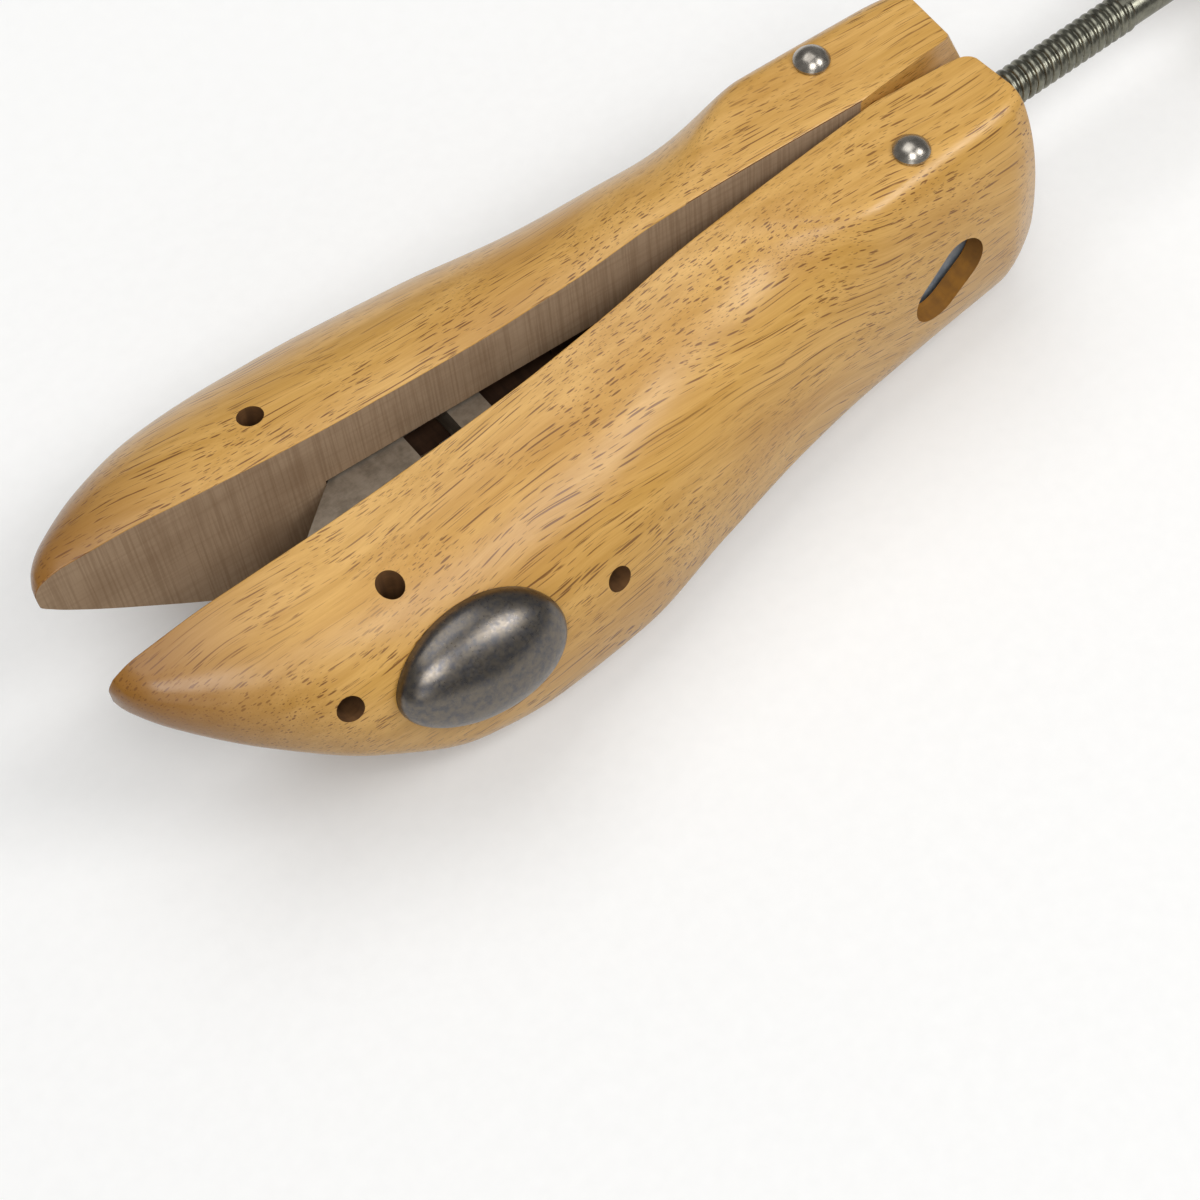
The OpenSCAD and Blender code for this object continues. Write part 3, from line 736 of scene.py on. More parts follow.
def dress(obj: Object, *materials: Material) -> None:
    """Gives an object its materials.

    Args:
        obj: The mesh object.
        materials: Its finishes, in the order of its faces' numbers.
    """
    obj.data.materials.clear()
    for m in materials:
        obj.data.materials.append(m)


@dataclass
class Palette:
    """Every finish of the object, built once."""

    far_wood: Material = field(init=False)
    near_wood: Material = field(init=False)
    grip_wood: Material = field(init=False)
    sawn: dict[Side, Material] = field(init=False)
    drilled: Material = field(init=False)
    milled: Material = field(init=False)
    window: Material = field(init=False)
    zinc: Material = field(init=False)
    yoke: Material = field(init=False)
    rivet: Material = field(init=False)
    rod: Material = field(init=False)
    plate: Material = field(init=False)
    brass: Material = field(init=False)
    spring: Material = field(init=False)
    cast: Material = field(init=False)

    def __post_init__(self) -> None:
        """Builds the materials."""
        # Clear gloss on pale hardwood: warm even colour, long dark pores and soft bright reflections
        self.far_wood = VarnishedWood(
            "far half, varnished hardwood", turn_deg=OPEN_DEG, shift=(40, 11, 5), dip_mm=4
        ).build()
        self.near_wood = VarnishedWood("near half, varnished hardwood", turn_deg=-OPEN_DEG, dip_mm=12).build()
        self.grip_wood = VarnishedWood(
            "handle, varnished hardwood", along_y=True, shift=(9, 3, 70), tips=False
        ).build()
        # Bare from the saw: matt and greyer than the varnished skin, with fine dark lines across
        self.sawn = {
            Side.FAR: SawnWood("far half, band-sawn bare wood", turn_deg=OPEN_DEG).build(),
            Side.NEAR: SawnWood("near half, band-sawn bare wood", turn_deg=-OPEN_DEG).build(),
        }
        # Bare drilled and milled walls, matt, painted dark brown: painted shade of the holes and recesses
        self.drilled = SawnWood("hardwood, drilled, painted shade", base="7C5836", dark="4A3322", mark_mm=1.4).build()
        self.milled = SawnWood(
            "hardwood, milled, painted shade", base="4C3424", dark="2C1E16", mark_mm=1.4
        ).build()
        # The routed window's walls: browner than the skin and painted darker as painted shade, with broad
        # cutter marks
        self.window = SawnWood(
            "hardwood, routed, painted shade", base="A06E2E", dark="6B4C2C", mark_mm=2.2
        ).build()
        # Zinc plate: bluish grey, broad dull reflections
        self.zinc = Metal("sheet steel, zinc plated", "AEB6BE", "8D949B", 0.42, 0.15, 0.6).build()
        # The yoke: the same zinc plate, painted paler and less metallic as painted light for its flange in
        # the shaded heel window
        self.yoke = Metal("sheet steel, dull zinc plate", "C3CCD4", "A3ADB8", 0.5, 0.15, 0.35).build()
        # Polished nickel: small clear reflections on a warm grey
        self.rivet = Metal(
            "rivet steel, nickel polished", "B4AEA4", "8E8880", 0.24, 0.08, mottle_mm=2.4, bump=0.02
        ).build()
        # Satin nickel: darker, so that only the thread's crests glint
        self.rod = Metal(
            "spindle steel, satin nickel plate",
            "807F72",
            "66655B",
            0.26,
            0.1,
            scratch=(2, 0.8, 0.8),
            bump=0.02,
        ).build()
        # Mill finish: flat warm grey with hardly a reflection
        self.plate = Metal(
            "wedge steel, mill finish", "A09484", "857A6B", 0.46, 0.18, 0.7, mottle_mm=3
        ).build()
        # Turned brass: yellow, with a soft shine
        self.brass = Metal("brass, turned", "C9A85C", "A58544", 0.28, 0.12).build()
        # Oiled spring steel: dark grey with thin bright lines along the wire
        self.spring = Metal("spring steel, oiled", "5A5B5E", "3E3F42", 0.35, 0.15).build()
        # Tumbled casting: grey with soft blotches and broad blurred reflections
        self.cast = Metal(
            "white metal, cast and tumbled",
            "746D64",
            "5D5C5E",
            0.27,
            0.1,
            mottle_mm=1.3,
            scratch=(1.6, 1.6, 1.6),
            bump=0.07,
        ).build()


@dataclass(frozen=True)
class PegSpot:
    """Where a side peg hole meets the skin, and how it points."""

    x: float
    z: float
    rise_deg: float
    lean_deg: float

    def axes(self) -> tuple[Vector, Vector, Vector, Vector]:
        """Gives the hole's frame in the closed half.

        Returns:
            Its mouth, its way out of the wood and two directions across it.
        """
        rise, lean = math.radians(self.rise_deg), math.radians(self.lean_deg)
        mouth = Vector((self.x, skin_y(self.x, self.z), self.z))
        out = Vector((-math.sin(lean) * math.cos(rise), math.cos(lean) * math.cos(rise), math.sin(rise)))
        u = Vector((math.cos(lean), math.sin(lean), 0))
        return mouth, out, u, out.cross(u)


@dataclass
class LastHalf:
    """One varnished half of the last, with its holes, recess and pocket.

    Its sizes are those of the closed far half in millimetres, x from the hinge line. The other half is
    its mirror image.
    """

    side: Side
    top_peg: Pair
    sections: int = 260
    spacing: Pair = (0.35, 0.65)  # shares of even spacing and of spacing that is finer at the ends
    up_steps: int = 60
    down_steps: int = 34
    edge_steps: int = 4
    bunching: float = 0.8  # gathers the points near the top edge
    flat_shares: tuple[float, ...] = (0.15, 0.3, 0.45, 0.6, 0.75, 0.82, 0.87, 0.91, 0.94, 0.97, 0.99)
    edge_r: float = 0.5
    brow_r: float = 2.6
    width_share: float = 0.8  # most that a rounding takes of a narrow top
    height_share: float = 0.2  # and of a thin toe
    pegs: tuple[PegSpot, ...] = (
        PegSpot(-142, 39.5, 28, 12),
        PegSpot(-118.6, 34.4, 34, 1.5),
        PegSpot(-88.8, 29.3, 22, -3.5),
    )
    peg_depth: float = 15.0
    peg_r: float = 2.5
    rivet_r: float = 2.5
    sink_r: float = 5.5
    sink_depth: float = 3.6
    pocket_x: Pair = (-10, 12.8)
    pocket_up: float = 12.7  # above and below the spindle
    pocket_y: float = 22.7
    pocket_r: float = 3
    slot_z: Pair = (25.8, 34.6)
    recess_x: Pair = (-116.5, -66)
    recess_y: float = 19.2
    groove_x: Pair = (-67, -8)
    channel_r: float = 5.2
    exit_x: float = 11.8  # start of the spindle's channel out of the heel
    open_exit_x: float = 7.8  # of the channel that clears the spindle with the half opened fully
    exit_end: float = 44
    swing_deg: float = 8.0  # opening that this second channel is cut for
    flare_end: float = 34
    flare_mouth: float = 2
    window_at: Pair = (-1.3, 28.9)
    window_r: float = 5.85
    window_run: float = 6.8  # straight part between its round ends
    window_lean_deg: float = 53
    window_y: Pair = (20.7, 36)
    # Reach of the finishes
    hair: float = 0.05  # a face this close to a surface lies on it
    hole_depth: float = 0.45  # a face this far under the skin lies in a hole
    heel_face_x: float = 16  # behind it the wood beside the channel is varnished round the corner
    window_x: Pair = (-14, 12.5)
    milled_x: Pair = (-68, 14)
    milled_up: float = 4.5

    def section(self, x: float) -> list[Point]:
        """One ring of the closed half's skin.

        Args:
            x: Distance from the hinge line.

        Returns:
            Points up the sawn face, out over the top, down the side and in under the sole.
        """
        w, top = along(x, Column.HALF_WIDTH), along(x, Column.TOP)
        low, mid = along(x, Column.LOW), along(x, Column.WIDEST)
        crease, y0 = crease_at(x), top_edge_y(x, w)
        end_c, end_s = math.cos(crease) ** (2 / ROUND_UP), math.sin(crease) ** (2 / ROUND_UP)
        r = min(self.edge_r, (y0 - FACE_Y) * self.width_share, (top - low) * self.height_share)
        ring: list[Point] = [(x, FACE_Y, low + r)]
        for k in range(self.edge_steps + 1):
            a = math.radians(90 / self.edge_steps * k)
            ring.append((x, FACE_Y + r * (1 - math.cos(a)), top - r * (1 - math.sin(a))))
        inner = FACE_Y + r
        ring += [(x, inner + (y0 - inner) * t, top) for t in self.flat_shares]
        for k in range(self.up_steps, -1, -1):
            a = crease * (k / self.up_steps) ** self.bunching
            y = y0 + (w - y0) * (math.cos(a) ** (2 / ROUND_UP) - end_c) / (1 - end_c)
            ring.append((x, y, mid + (top - mid) * math.sin(a) ** (2 / ROUND_UP) / end_s))
        self.ease_brow(ring, (x, y0, top), min(self.brow_r, (y0 - inner) * self.width_share))
        for k in range(1, self.down_steps):
            a = math.pi / 2 * k / self.down_steps
            y = FACE_Y + (w - FACE_Y) * math.cos(a) ** (2 / ROUND_DOWN)
            ring.append((x, y, mid - (mid - low) * math.sin(a) ** (2 / ROUND_DOWN)))
        ring.append((x, FACE_Y + r, low))
        return ring

    def ease_brow(self, ring: list[Point], brow: Point, reach: float) -> None:
        """Rounds the edge where the flat top meets the side.

        Args:
            ring: The section's points, changed in place.
            brow: The edge.
            reach: How far from the edge the rounding starts, in millimetres.
        """
        corner = Vector(brow)
        away = [(Vector(p) - corner).length for p in ring]
        at = away.index(min(away))
        flat = corner - Vector((0, reach, 0))
        beyond = next((k for k in range(at, len(ring)) if away[k] > reach), at)
        side = corner + (Vector(ring[beyond]) - corner).normalized() * reach
        for k in range(self.edge_steps + 2, beyond):
            if away[k] >= reach:
                continue
            t = 0.5 + 0.5 * away[k] / reach * (1 if k >= at else -1)
            ring[k] = tuple(flat * (1 - t) ** 2 + corner * (2 * t * (1 - t)) + side * t * t)

    def skin(self) -> Object:
        """Builds the uncut half.

        Returns:
            The closed solid.
        """
        points: list[Vector] = []
        n = 0
        for i in range(self.sections):
            t = i / (self.sections - 1)
            s = 0.5 - 0.5 * math.cos(math.pi * t)
            x = TOE_X + (HEEL_X - TOE_X) * (self.spacing[0] * t + self.spacing[1] * s)
            ring = self.section(x)
            n = len(ring)
            points += [opened(p, self.side) for p in ring]
        faces: list[tuple[int, ...]] = []
        for i in range(self.sections - 1):
            for j in range(n):
                k = (j + 1) % n
                faces.append((i * n + j, i * n + k, (i + 1) * n + k, (i + 1) * n + j))
        faces.append(tuple(range(n - 1, -1, -1)))
        faces.append(tuple((self.sections - 1) * n + j for j in range(n)))
        obj = new_object(f"{self.side.name.lower()}_last_wood", points, faces)
        face_out(obj)
        return obj

    def peg_place(self, spot: PegSpot) -> Placer:
        """Frame of a side peg hole: the first coordinate runs out of the wood."""
        mouth, out, u, v = spot.axes()
        return lambda a, b, c: opened(mouth + out * a + u * b + v * c, self.side)

    def cutters(self) -> list[Object]:
        """Builds everything that is cut out of the wood.

        Returns:
            The cutters, each reaching out of the wood where its hole is open.
        """

        def upright(x: float, y: float) -> Placer:
            """Frame of a vertical hole."""
            return lambda a, b, c: opened((x + b, y + c, a), self.side)

        def flat(u: float, v: float, h: float) -> Vector:
            """Plan outline, raised."""
            return opened((u, v, h), self.side)

        def through(u: float, v: float, h: float) -> Vector:
            """Side outline in x and z, pushed out along y."""
            return opened((u, h, v), self.side)

        swing = math.radians(self.swing_deg)

        def swung(a: float, b: float, c: float) -> Vector:
            """Frame of the spindle's channel with the half opened fully.

            Args:
                a: Distance along the spindle.
                b: Distance across, level.
                c: Height over the spindle.

            Returns:
                The row-frame point.
            """
            off = b - PIVOT_Y
            x = a * math.cos(swing) - off * math.sin(swing)
            y = a * math.sin(swing) + off * math.cos(swing) + PIVOT_Y
            return opened((x, y, c + ROD_Z), self.side)

        rivet, r = upright(0, PIVOT_Y), self.channel_r
        under, over = -2, 60  # past the sole and past the rivet's plateau
        pocket = rounded(*self.pocket_x, ROD_Z - self.pocket_up, ROD_Z + self.pocket_up, self.pocket_r)
        out = [
            prism("sole", rectangle(-180, 40, -5, 60), -8, 0, flat),
            lathe("pivot", [(under, self.rivet_r), (over, self.rivet_r)], rivet),
            lathe("counterbore", [(under, self.sink_r), (self.sink_depth, self.sink_r)], rivet),
            prism("pocket", pocket, -1, self.pocket_y, through),
            prism("recess", rectangle(*self.recess_x, *self.slot_z), -1, self.recess_y, through),
            prism("groove", rectangle(*self.groove_x, *self.slot_z), -1, r, through),
            lathe("exit", [(self.exit_x, r), (self.exit_end, r)], lambda a, b, c: flat(a, b, c + ROD_Z)),
            lathe("exit_open", [(self.open_exit_x, r), (self.exit_end, r)], swung),
        ]
        tan, start, end = self.side.relief, RELIEF_X - 1, HEEL_X + 4
        flare = [(self.exit_x, 0), (self.flare_end, 0), (self.flare_end, self.flare_end * tan)]
        flare.append((self.exit_x, self.flare_mouth))
        relief = [(start, -1), (end, -1), (end, FACE_Y + (end - RELIEF_X) * tan), (start, FACE_Y - tan)]
        out.append(prism("flare", flare, ROD_Z - r, ROD_Z + r, flat))
        out.append(prism("relief", relief, -1, PLATEAU_Z + 3, flat))
        out += [self.heel_corner(), self.window()]
        side_hole = [(-self.peg_depth, self.peg_r), (12, self.peg_r)]
        out += [lathe("peg", side_hole, self.peg_place(spot), 64) for spot in self.pegs]
        top = along(self.top_peg[0], Column.TOP)
        top_hole = [(top - self.peg_depth, self.peg_r), (top + 6, self.peg_r)]
        out.append(lathe("top_peg", top_hole, upright(*self.top_peg), 64))
        return out

    def relief_y(self, x: float) -> float:
        """Distance of the sawn or leaning face from the middle plane."""
        return FACE_Y + max(x - RELIEF_X, 0) * self.side.relief

    def heel_corner(self) -> Object:
        """Builds the cutter that rounds the inner corner of the heel, along its sloping back.

        Returns:
            The cutter.
        """
        lean = math.atan2(HEEL_X - HEEL_EDGE[0], HEEL_EDGE[1] - along(HEEL_X, Column.TOP))
        tip = math.atan(math.tan(lean) * self.side.relief)
        r, steps, past = self.side.heel_round, 12, 0.4
        x0 = HEEL_EDGE[0] + past
        centre = 0.88 * r  # of the arc, from the face

        def place(u: float, v: float, h: float) -> Vector:
            """Frame that follows the corner's edge.

            Args:
                u: Distance out of the heel's back.
                v: Distance from the face.
                h: Distance up along the edge.

            Returns:
                The row-frame point.
            """
            y, z = v * math.cos(tip) - h * math.sin(tip), v * math.sin(tip) + h * math.cos(tip)
            x = u * math.cos(lean) - z * math.sin(lean)
            z = u * math.sin(lean) + z * math.cos(lean)
            return opened((x0 + x, self.relief_y(x0) + y, HEEL_EDGE[1] + z), self.side)

        arc = [math.radians(-90 * k / steps) for k in range(steps + 1)]
        outline = [(-r, -2.0), (4.0, -2.0), (4.0, centre)]
        outline += [(-r + r * math.cos(a), centre + r * math.sin(a)) for a in arc]
        return prism("heel_corner", outline, -30, 10, place)

    def window(self) -> Object:
        """Builds the cutter of the oval window at the heel.

        Returns:
            The cutter.
        """
        c, s = math.cos(math.radians(self.window_lean_deg)), math.sin(math.radians(self.window_lean_deg))
        (x0, z0), r, steps = self.window_at, self.window_r, 64
        outline: list[Pair] = []
        for k in range(steps):
            a = 2 * math.pi * k / steps
            u = r * math.cos(a)
            v = r * math.sin(a) + math.copysign(self.window_run / 2, math.sin(a + 1e-6))
            outline.append((x0 + u * c + v * s, z0 - u * s + v * c))
        return prism("window", outline, *self.window_y, lambda u, v, h: opened((u, h, v), self.side))

    def build(self, palette: Palette) -> Object:
        """Builds, cuts and dresses the half.

        Args:
            palette: The finishes.

        Returns:
            The finished half.
        """
        name = self.side.name.lower()
        obj = self.skin()
        combine(obj, self.cutters())
        outside = palette.far_wood if self.side is Side.FAR else palette.near_wood
        # The drilled, milled and window walls carry dark painted shade
        dress(obj, outside, palette.sawn[self.side], palette.drilled, palette.milled, palette.window)
        for face in obj.data.polygons:
            face.material_index = self.zone(closed(face.center, self.side))
        smooth(obj, 34)
        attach(obj, f"{name}_half")
        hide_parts(f"{name}_last_half")
        return obj

    def zone(self, p: Point) -> Zone:
        """Tells which finish a face has.

        Args:
            p: Middle of the face in the closed half's frame.

        Returns:
            The index of its finish.
        """
        x, y, z = p
        face, up = self.relief_y(x), abs(z - ROD_Z)
        if y < face + self.hair:
            return Zone.SAWN if x < RELIEF_X + 0.01 else Zone.VARNISHED
        beside = up > self.channel_r + self.hair
        if x > self.heel_face_x and beside and y < face + self.side.heel_round + 0.5:
            return Zone.VARNISHED
        top, low = along(x, Column.TOP), max(along(x, Column.LOW), 0)
        brow = math.hypot(y - top_edge_y(x, along(x, Column.HALF_WIDTH)), z - top)
        if x > PLATEAU_X - 2 and brow < self.brow_r + 0.4:
            return Zone.VARNISHED
        inside = y < skin_y(x, min(max(z, low + 0.01), top - 0.01)) - self.hole_depth
        if inside and y > self.pocket_y + 0.02 and self.window_x[0] < x < self.window_x[1]:
            return Zone.WINDOW
        if inside and low + 0.2 < z < top - 0.2 and x < HEEL_X - 0.3:
            between = self.milled_x[0] < x < self.milled_x[1]
            in_pocket = between and up < self.pocket_up + 0.1 and y < self.pocket_y + 0.1
            in_recess = y < self.recess_y + 0.1 and up < self.milled_up
            return Zone.MILLED if in_pocket or in_recess else Zone.DRILLED
        return Zone.VARNISHED


@dataclass
class BunionPlug:
    """Egg-shaped cast dome that stands on the near half's skin."""

    peg: int = 1  # which of the half's side pegs it sits on
    length: float = 33.5
    width: float = 22.3
    height: float = 7.0
    blunt: float = 0.1  # share by which one end is wider and the other narrower
    turn_deg: float = 9.0
    rim: float = 0.9
    foot: float = 0.12  # height of the rim's lower edge over the gap
    foot_share: float = 0.97
    gap: float = 0.35
    rings: int = 34
    sides: int = 128

    def build(self, palette: Palette, half: LastHalf) -> Object:
        """Builds and dresses the dome.

        Args:
            palette: The finishes.
            half: The half that carries it.

        Returns:
            The dome.
        """
        mouth, out, u, v = half.pegs[self.peg].axes()
        turn = math.radians(self.turn_deg)

        def egg(a: float, r: float) -> Pair:
            """Point of the egg outline.

            Args:
                a: Angle round it.
                r: Share of its size.

            Returns:
                Its place across the peg.
            """
            p = self.length / 2 * r * math.cos(a)
            q = self.width / 2 * r * math.sin(a) * (1 + self.blunt * math.cos(a))
            return (p * math.cos(turn) - q * math.sin(turn), p * math.sin(turn) + q * math.cos(turn))

        def level(q: Pair) -> float:
            """Finds the wood's skin by halving.

            Args:
                q: Place across the peg.

            Returns:
                Height of the skin over the peg's plane.
            """
            low, high = -9.0, 5.0
            for _ in range(18):
                m = (low + high) / 2
                p = mouth + u * q[0] + v * q[1] + out * m
                if p.y - skin_y(p.x, p.z) > 0:
                    high = m
                else:
                    low = m
            return (low + high) / 2

        def put(q: Pair, h: float) -> Vector:
            """Row-frame point over the peg's plane."""
            return opened(mouth + u * q[0] + v * q[1] + out * h, Side.NEAR)

        angles = [2 * math.pi * k / self.sides for k in range(self.sides)]
        base = [level(egg(a, 1)) + self.gap for a in angles]
        points = [put((0, 0), self.height)]
        for i in range(1, self.rings + 1):
            r = math.sin(math.pi / 2 * i / self.rings)
            for a, b in zip(angles, base):
                h = (b + self.rim) * r * r + self.height * math.sqrt(max(0.0, 1 - r * r))
                points.append(put(egg(a, r), h))
        for shrink, drop in ((1.0, 0.0), (self.foot_share, -self.foot)):
            points += [put(egg(a, shrink), b + self.foot + drop) for a, b in zip(angles, base)]
        points += [put(egg(a, 0.5), level(egg(a, 0.5)) + self.gap) for a in angles]
        points.append(put((0, 0), level((0, 0)) + self.gap))
        n, rows = self.sides, self.rings + 3
        faces: list[tuple[int, ...]] = [(0, 1 + k, 1 + (k + 1) % n) for k in range(n)]
        for i in range(rows - 1):
            for k in range(n):
                a, b = 1 + i * n + k, 1 + i * n + (k + 1) % n
                faces.append((a, a + n, b + n, b))
        last = len(points) - 1
        faces += [(last, 1 + (rows - 1) * n + (k + 1) % n, 1 + (rows - 1) * n + k) for k in range(n)]
        obj = new_object("bunion_plug_dome", points, faces)
        face_out(obj)
        dress(obj, palette.cast)
        smooth(obj, 40)
        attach(obj, "plug")
        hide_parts("bunion_plug")
        return obj


@dataclass(frozen=True)
class Coil:
    """A round wire wound into a helix by Geometry Nodes."""

    name: str
    radius: float
    wire: float
    pitch: float
    turns: float
    wire_sides: int = 12
    turn_steps: int = 64

    def build(self, material: Material, place: Matrix) -> Object:
        """Winds the wire and turns it into a plain mesh.

        Args:
            material: The wire's finish.
            place: Where the helix's start goes; it climbs along its own Z.

        Returns:
            The mesh object, at the origin.
        """
        group = bpy.data.node_groups.new(self.name, "GeometryNodeTree")
        sizes = {
            "Turns": self.turns,
            "Radius": self.radius * MM,
            "Height": self.pitch * self.turns * MM,
            "Wire radius": self.wire * MM,
        }
        for label in sizes:
            group.interface.new_socket(label, in_out="INPUT", socket_type="NodeSocketFloat")
        group.interface.new_socket("Mesh", in_out="OUTPUT", socket_type="NodeSocketGeometry")
        make = group.nodes.new
        link = group.links.new
        source, out = make("NodeGroupInput"), make("NodeGroupOutput")
        spiral, ring = make("GeometryNodeCurveSpiral"), make("GeometryNodeCurvePrimitiveCircle")
        spiral.inputs["Resolution"].default_value = self.turn_steps
        ring.inputs["Resolution"].default_value = self.wire_sides
        link(source.outputs["Turns"], spiral.inputs["Rotations"])
        for end in ("Start Radius", "End Radius"):
            link(source.outputs["Radius"], spiral.inputs[end])
        link(source.outputs["Height"], spiral.inputs["Height"])
        link(source.outputs["Wire radius"], ring.inputs["Radius"])
        sweep, paint = make("GeometryNodeCurveToMesh"), make("GeometryNodeSetMaterial")
        real = make("GeometryNodeRealizeInstances")
        sweep.inputs["Fill Caps"].default_value = True
        link(spiral.outputs[0], sweep.inputs["Curve"])
        link(ring.outputs[0], sweep.inputs["Profile Curve"])
        link(sweep.outputs[0], real.inputs[0])
        link(real.outputs[0], paint.inputs["Geometry"])
        paint.inputs["Material"].default_value = material
        link(paint.outputs[0], out.inputs[0])
        obj = new_object(self.name, [], [])
        mod = obj.modifiers.new("wind", "NODES")
        mod.node_group = group
        for item in group.interface.items_tree:
            if item.in_out == "INPUT":
                mod[item.identifier] = float(sizes[item.name])
        bake(obj)
        obj.data.transform(place)
        face_out(obj)
        return obj


@dataclass
class Spindle:
    """The rolled threaded rod with its rounded crests, and its plain ends."""

    thread_start: float = -79.3
    thread_end: float = 67.6
    pitch: float = 2.0
    core_r: float = 3.5
    helix_r: float = 2.98
    ridge_r: float = 1.04
    turn_steps: int = 72
    ridge_sides: int = 14
    core_end: float = 67.2
    collar_end: tuple[Pair, ...] = (
        (-98.1, 2.0),
        (-97.8, 2.3),
        (-83.5, 2.3),
        (-83.5, 3.7),
        (-83.2, 4.0),
        (-79.4, 4.0),
    )
    grip_end: tuple[Pair, ...] = ((67.7, 3.65), (126.0, 3.65), (126.0, 3.0), (130.9, 3.0))

    def build(self, palette: Palette) -> Object:
        """Builds and dresses the rod.

        Args:
            palette: The finishes.

        Returns:
            The rod. Its thread is an object of its own.
        """

        def place(a: float, b: float, c: float) -> Vector:
            """A point about the spindle's axis."""
            return seated((a, b, ROD_Z + c))

        core = ((self.thread_start, self.core_r), (self.core_end, self.core_r))
        rod = lathe("spindle_rod", self.collar_end + core + self.grip_end, place)
        dress(rod, palette.rod)
        smooth(rod, 35)
        turns = (self.thread_end - self.thread_start) / self.pitch
        start = Matrix.Translation(seated((self.thread_start, 0, ROD_Z)))
        wire = (self.helix_r, self.ridge_r, self.pitch, turns, self.ridge_sides, self.turn_steps)
        lying = Matrix.Rotation(math.pi / 2, 4, "Y")
        ridges = Coil("spindle_thread", *wire).build(palette.rod, start @ lying)
        smooth(ridges, 60)
        for piece in (rod, ridges):
            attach(piece, "spindle")
            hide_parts("spindle")
        return rod


@dataclass
class ReturnSpring:
    """Torsion spring round a rivet."""

    side: Side
    radius: float = 3.6
    wire: float = 0.6
    pitch: float = 1.7
    turns: float = 4.125
    drop: float = 8.4  # of the coil's start under the spindle
    lower_leg: float = 9.9
    upper_leg: float = 3.4
    upper_leg_deg: float = -45

    def build(self, palette: Palette) -> Object:
        """Winds the spring and adds its two legs.

        Args:
            palette: The finishes.

        Returns:
            The spring.
        """
        base, tail = ROD_Z - self.drop, math.radians(self.upper_leg_deg)
        turn = Matrix.Rotation(math.radians(-OPEN_DEG * self.side.value), 4, "Z")
        spot = Matrix.Translation(opened((0, PIVOT_Y, base), self.side)) @ turn
        spot = spot @ Matrix.Diagonal((1, self.side.value, 1, 1)) @ Matrix.Rotation(-math.pi / 2, 4, "Z")
        name = self.side.name.lower()
        coil = Coil(f"{name}_spring_coil", self.radius, self.wire, self.pitch, self.turns)
        obj = coil.build(palette.spring, spot)

        def front(a: float, b: float, c: float) -> Vector:
            """A point along the lower leg, which runs forward."""
            return opened((a, PIVOT_Y - self.radius + b, base + c), self.side)

        def back(a: float, b: float, c: float) -> Vector:
            """A point along the upper leg, which runs on from the coil's end.

            Args:
                a: Distance along the leg.
                b: Distance across, level.
                c: Height over the leg.

            Returns:
                The row-frame point.
            """
            x = self.radius * math.cos(tail) - a * math.sin(tail) + b * math.cos(tail)
            y = self.radius * math.sin(tail) + a * math.cos(tail) + b * math.sin(tail)
            return opened((x, PIVOT_Y + y, base + self.pitch * self.turns + c), self.side)

        for place, start, end in ((front, -self.lower_leg, 0.0), (back, 0.0, self.upper_leg)):
            leg = lathe("leg", [(start, self.wire), (end, self.wire)], place, 12)
            leg.data.materials.append(palette.spring)
            combine(obj, [leg], Change.ADD)
        smooth(obj, 50)
        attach(obj, f"{name}_half")
        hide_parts(f"{name}_return_spring")
        return obj


@dataclass
class Handle:
    """Turned wooden cross grip on the end of the spindle."""

    middle_x: float = 116.0
    length: float = 100.0
    mid_r: float = 9.5
    end_r: float = 6.75
    dome: float = 5.0
    dome_steps: int = 16
    side_steps: int = 40
    pole_r: float = 0.02
    bore_r: float = 3.7
    face_r: float = 7.5
    face_depth: float = 1.2
    pin_r: float = 1.5
    reach: float = 15.0  # of the bore's and pin's cutters, past the wood

    def profile(self) -> list[Pair]:
        """Gives the grip's outline.

        Returns:
            Distance from the middle and radius, from one domed end to the other.
        """
        half, steps = self.length / 2 - self.dome, self.dome_steps
        points: list[Pair] = []
        for k in range(steps + 1):
            a = math.pi / 2 * (1 - k / steps)
            points.append((-half - self.dome * math.sin(a), max(self.end_r * math.cos(a), self.pole_r)))
        for k in range(1 - self.side_steps, self.side_steps):
            t = k / self.side_steps
            r = self.end_r + (self.mid_r - self.end_r) * math.cos(math.pi / 2 * abs(t))
            points.append((t * half, r))
        for k in range(steps + 1):
            a = math.pi / 2 * k / steps
            points.append((half + self.dome * math.sin(a), max(self.end_r * math.cos(a), self.pole_r)))
        return points

    def build(self, palette: Palette) -> Object:
        """Builds and dresses the grip.

        Args:
            palette: The finishes.

        Returns:
            The grip.
        """

        def across(a: float, b: float, c: float) -> Vector:
            """A point about the grip's own axis."""
            return seated((self.middle_x + b, a, ROD_Z + c))

        def axle(a: float, b: float, c: float) -> Vector:
            """A point about the spindle's axis at the grip."""
            return seated((self.middle_x + a, b, ROD_Z + c))

        def upright(a: float, b: float, c: float) -> Vector:
            """A point about the pin's axis."""
            return seated((self.middle_x + b, c, ROD_Z + a))

        obj = lathe("grip_wood", self.profile(), across)
        reach, flat = self.reach, self.mid_r - self.face_depth
        cutters = [
            lathe("bore", [(-reach, self.bore_r), (reach, self.bore_r)], axle),
            lathe("face", [(flat, self.face_r), (flat + 10, self.face_r)], axle),
            lathe("face", [(-flat - 10, self.face_r), (-flat, self.face_r)], axle),
            lathe("pin", [(-reach, self.pin_r), (reach, self.pin_r)], upright, 48),
        ]
        combine(obj, cutters)
        dress(obj, palette.grip_wood)
        smooth(obj, 30)
        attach(obj, "spindle")
        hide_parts("handle_grip")
        return obj


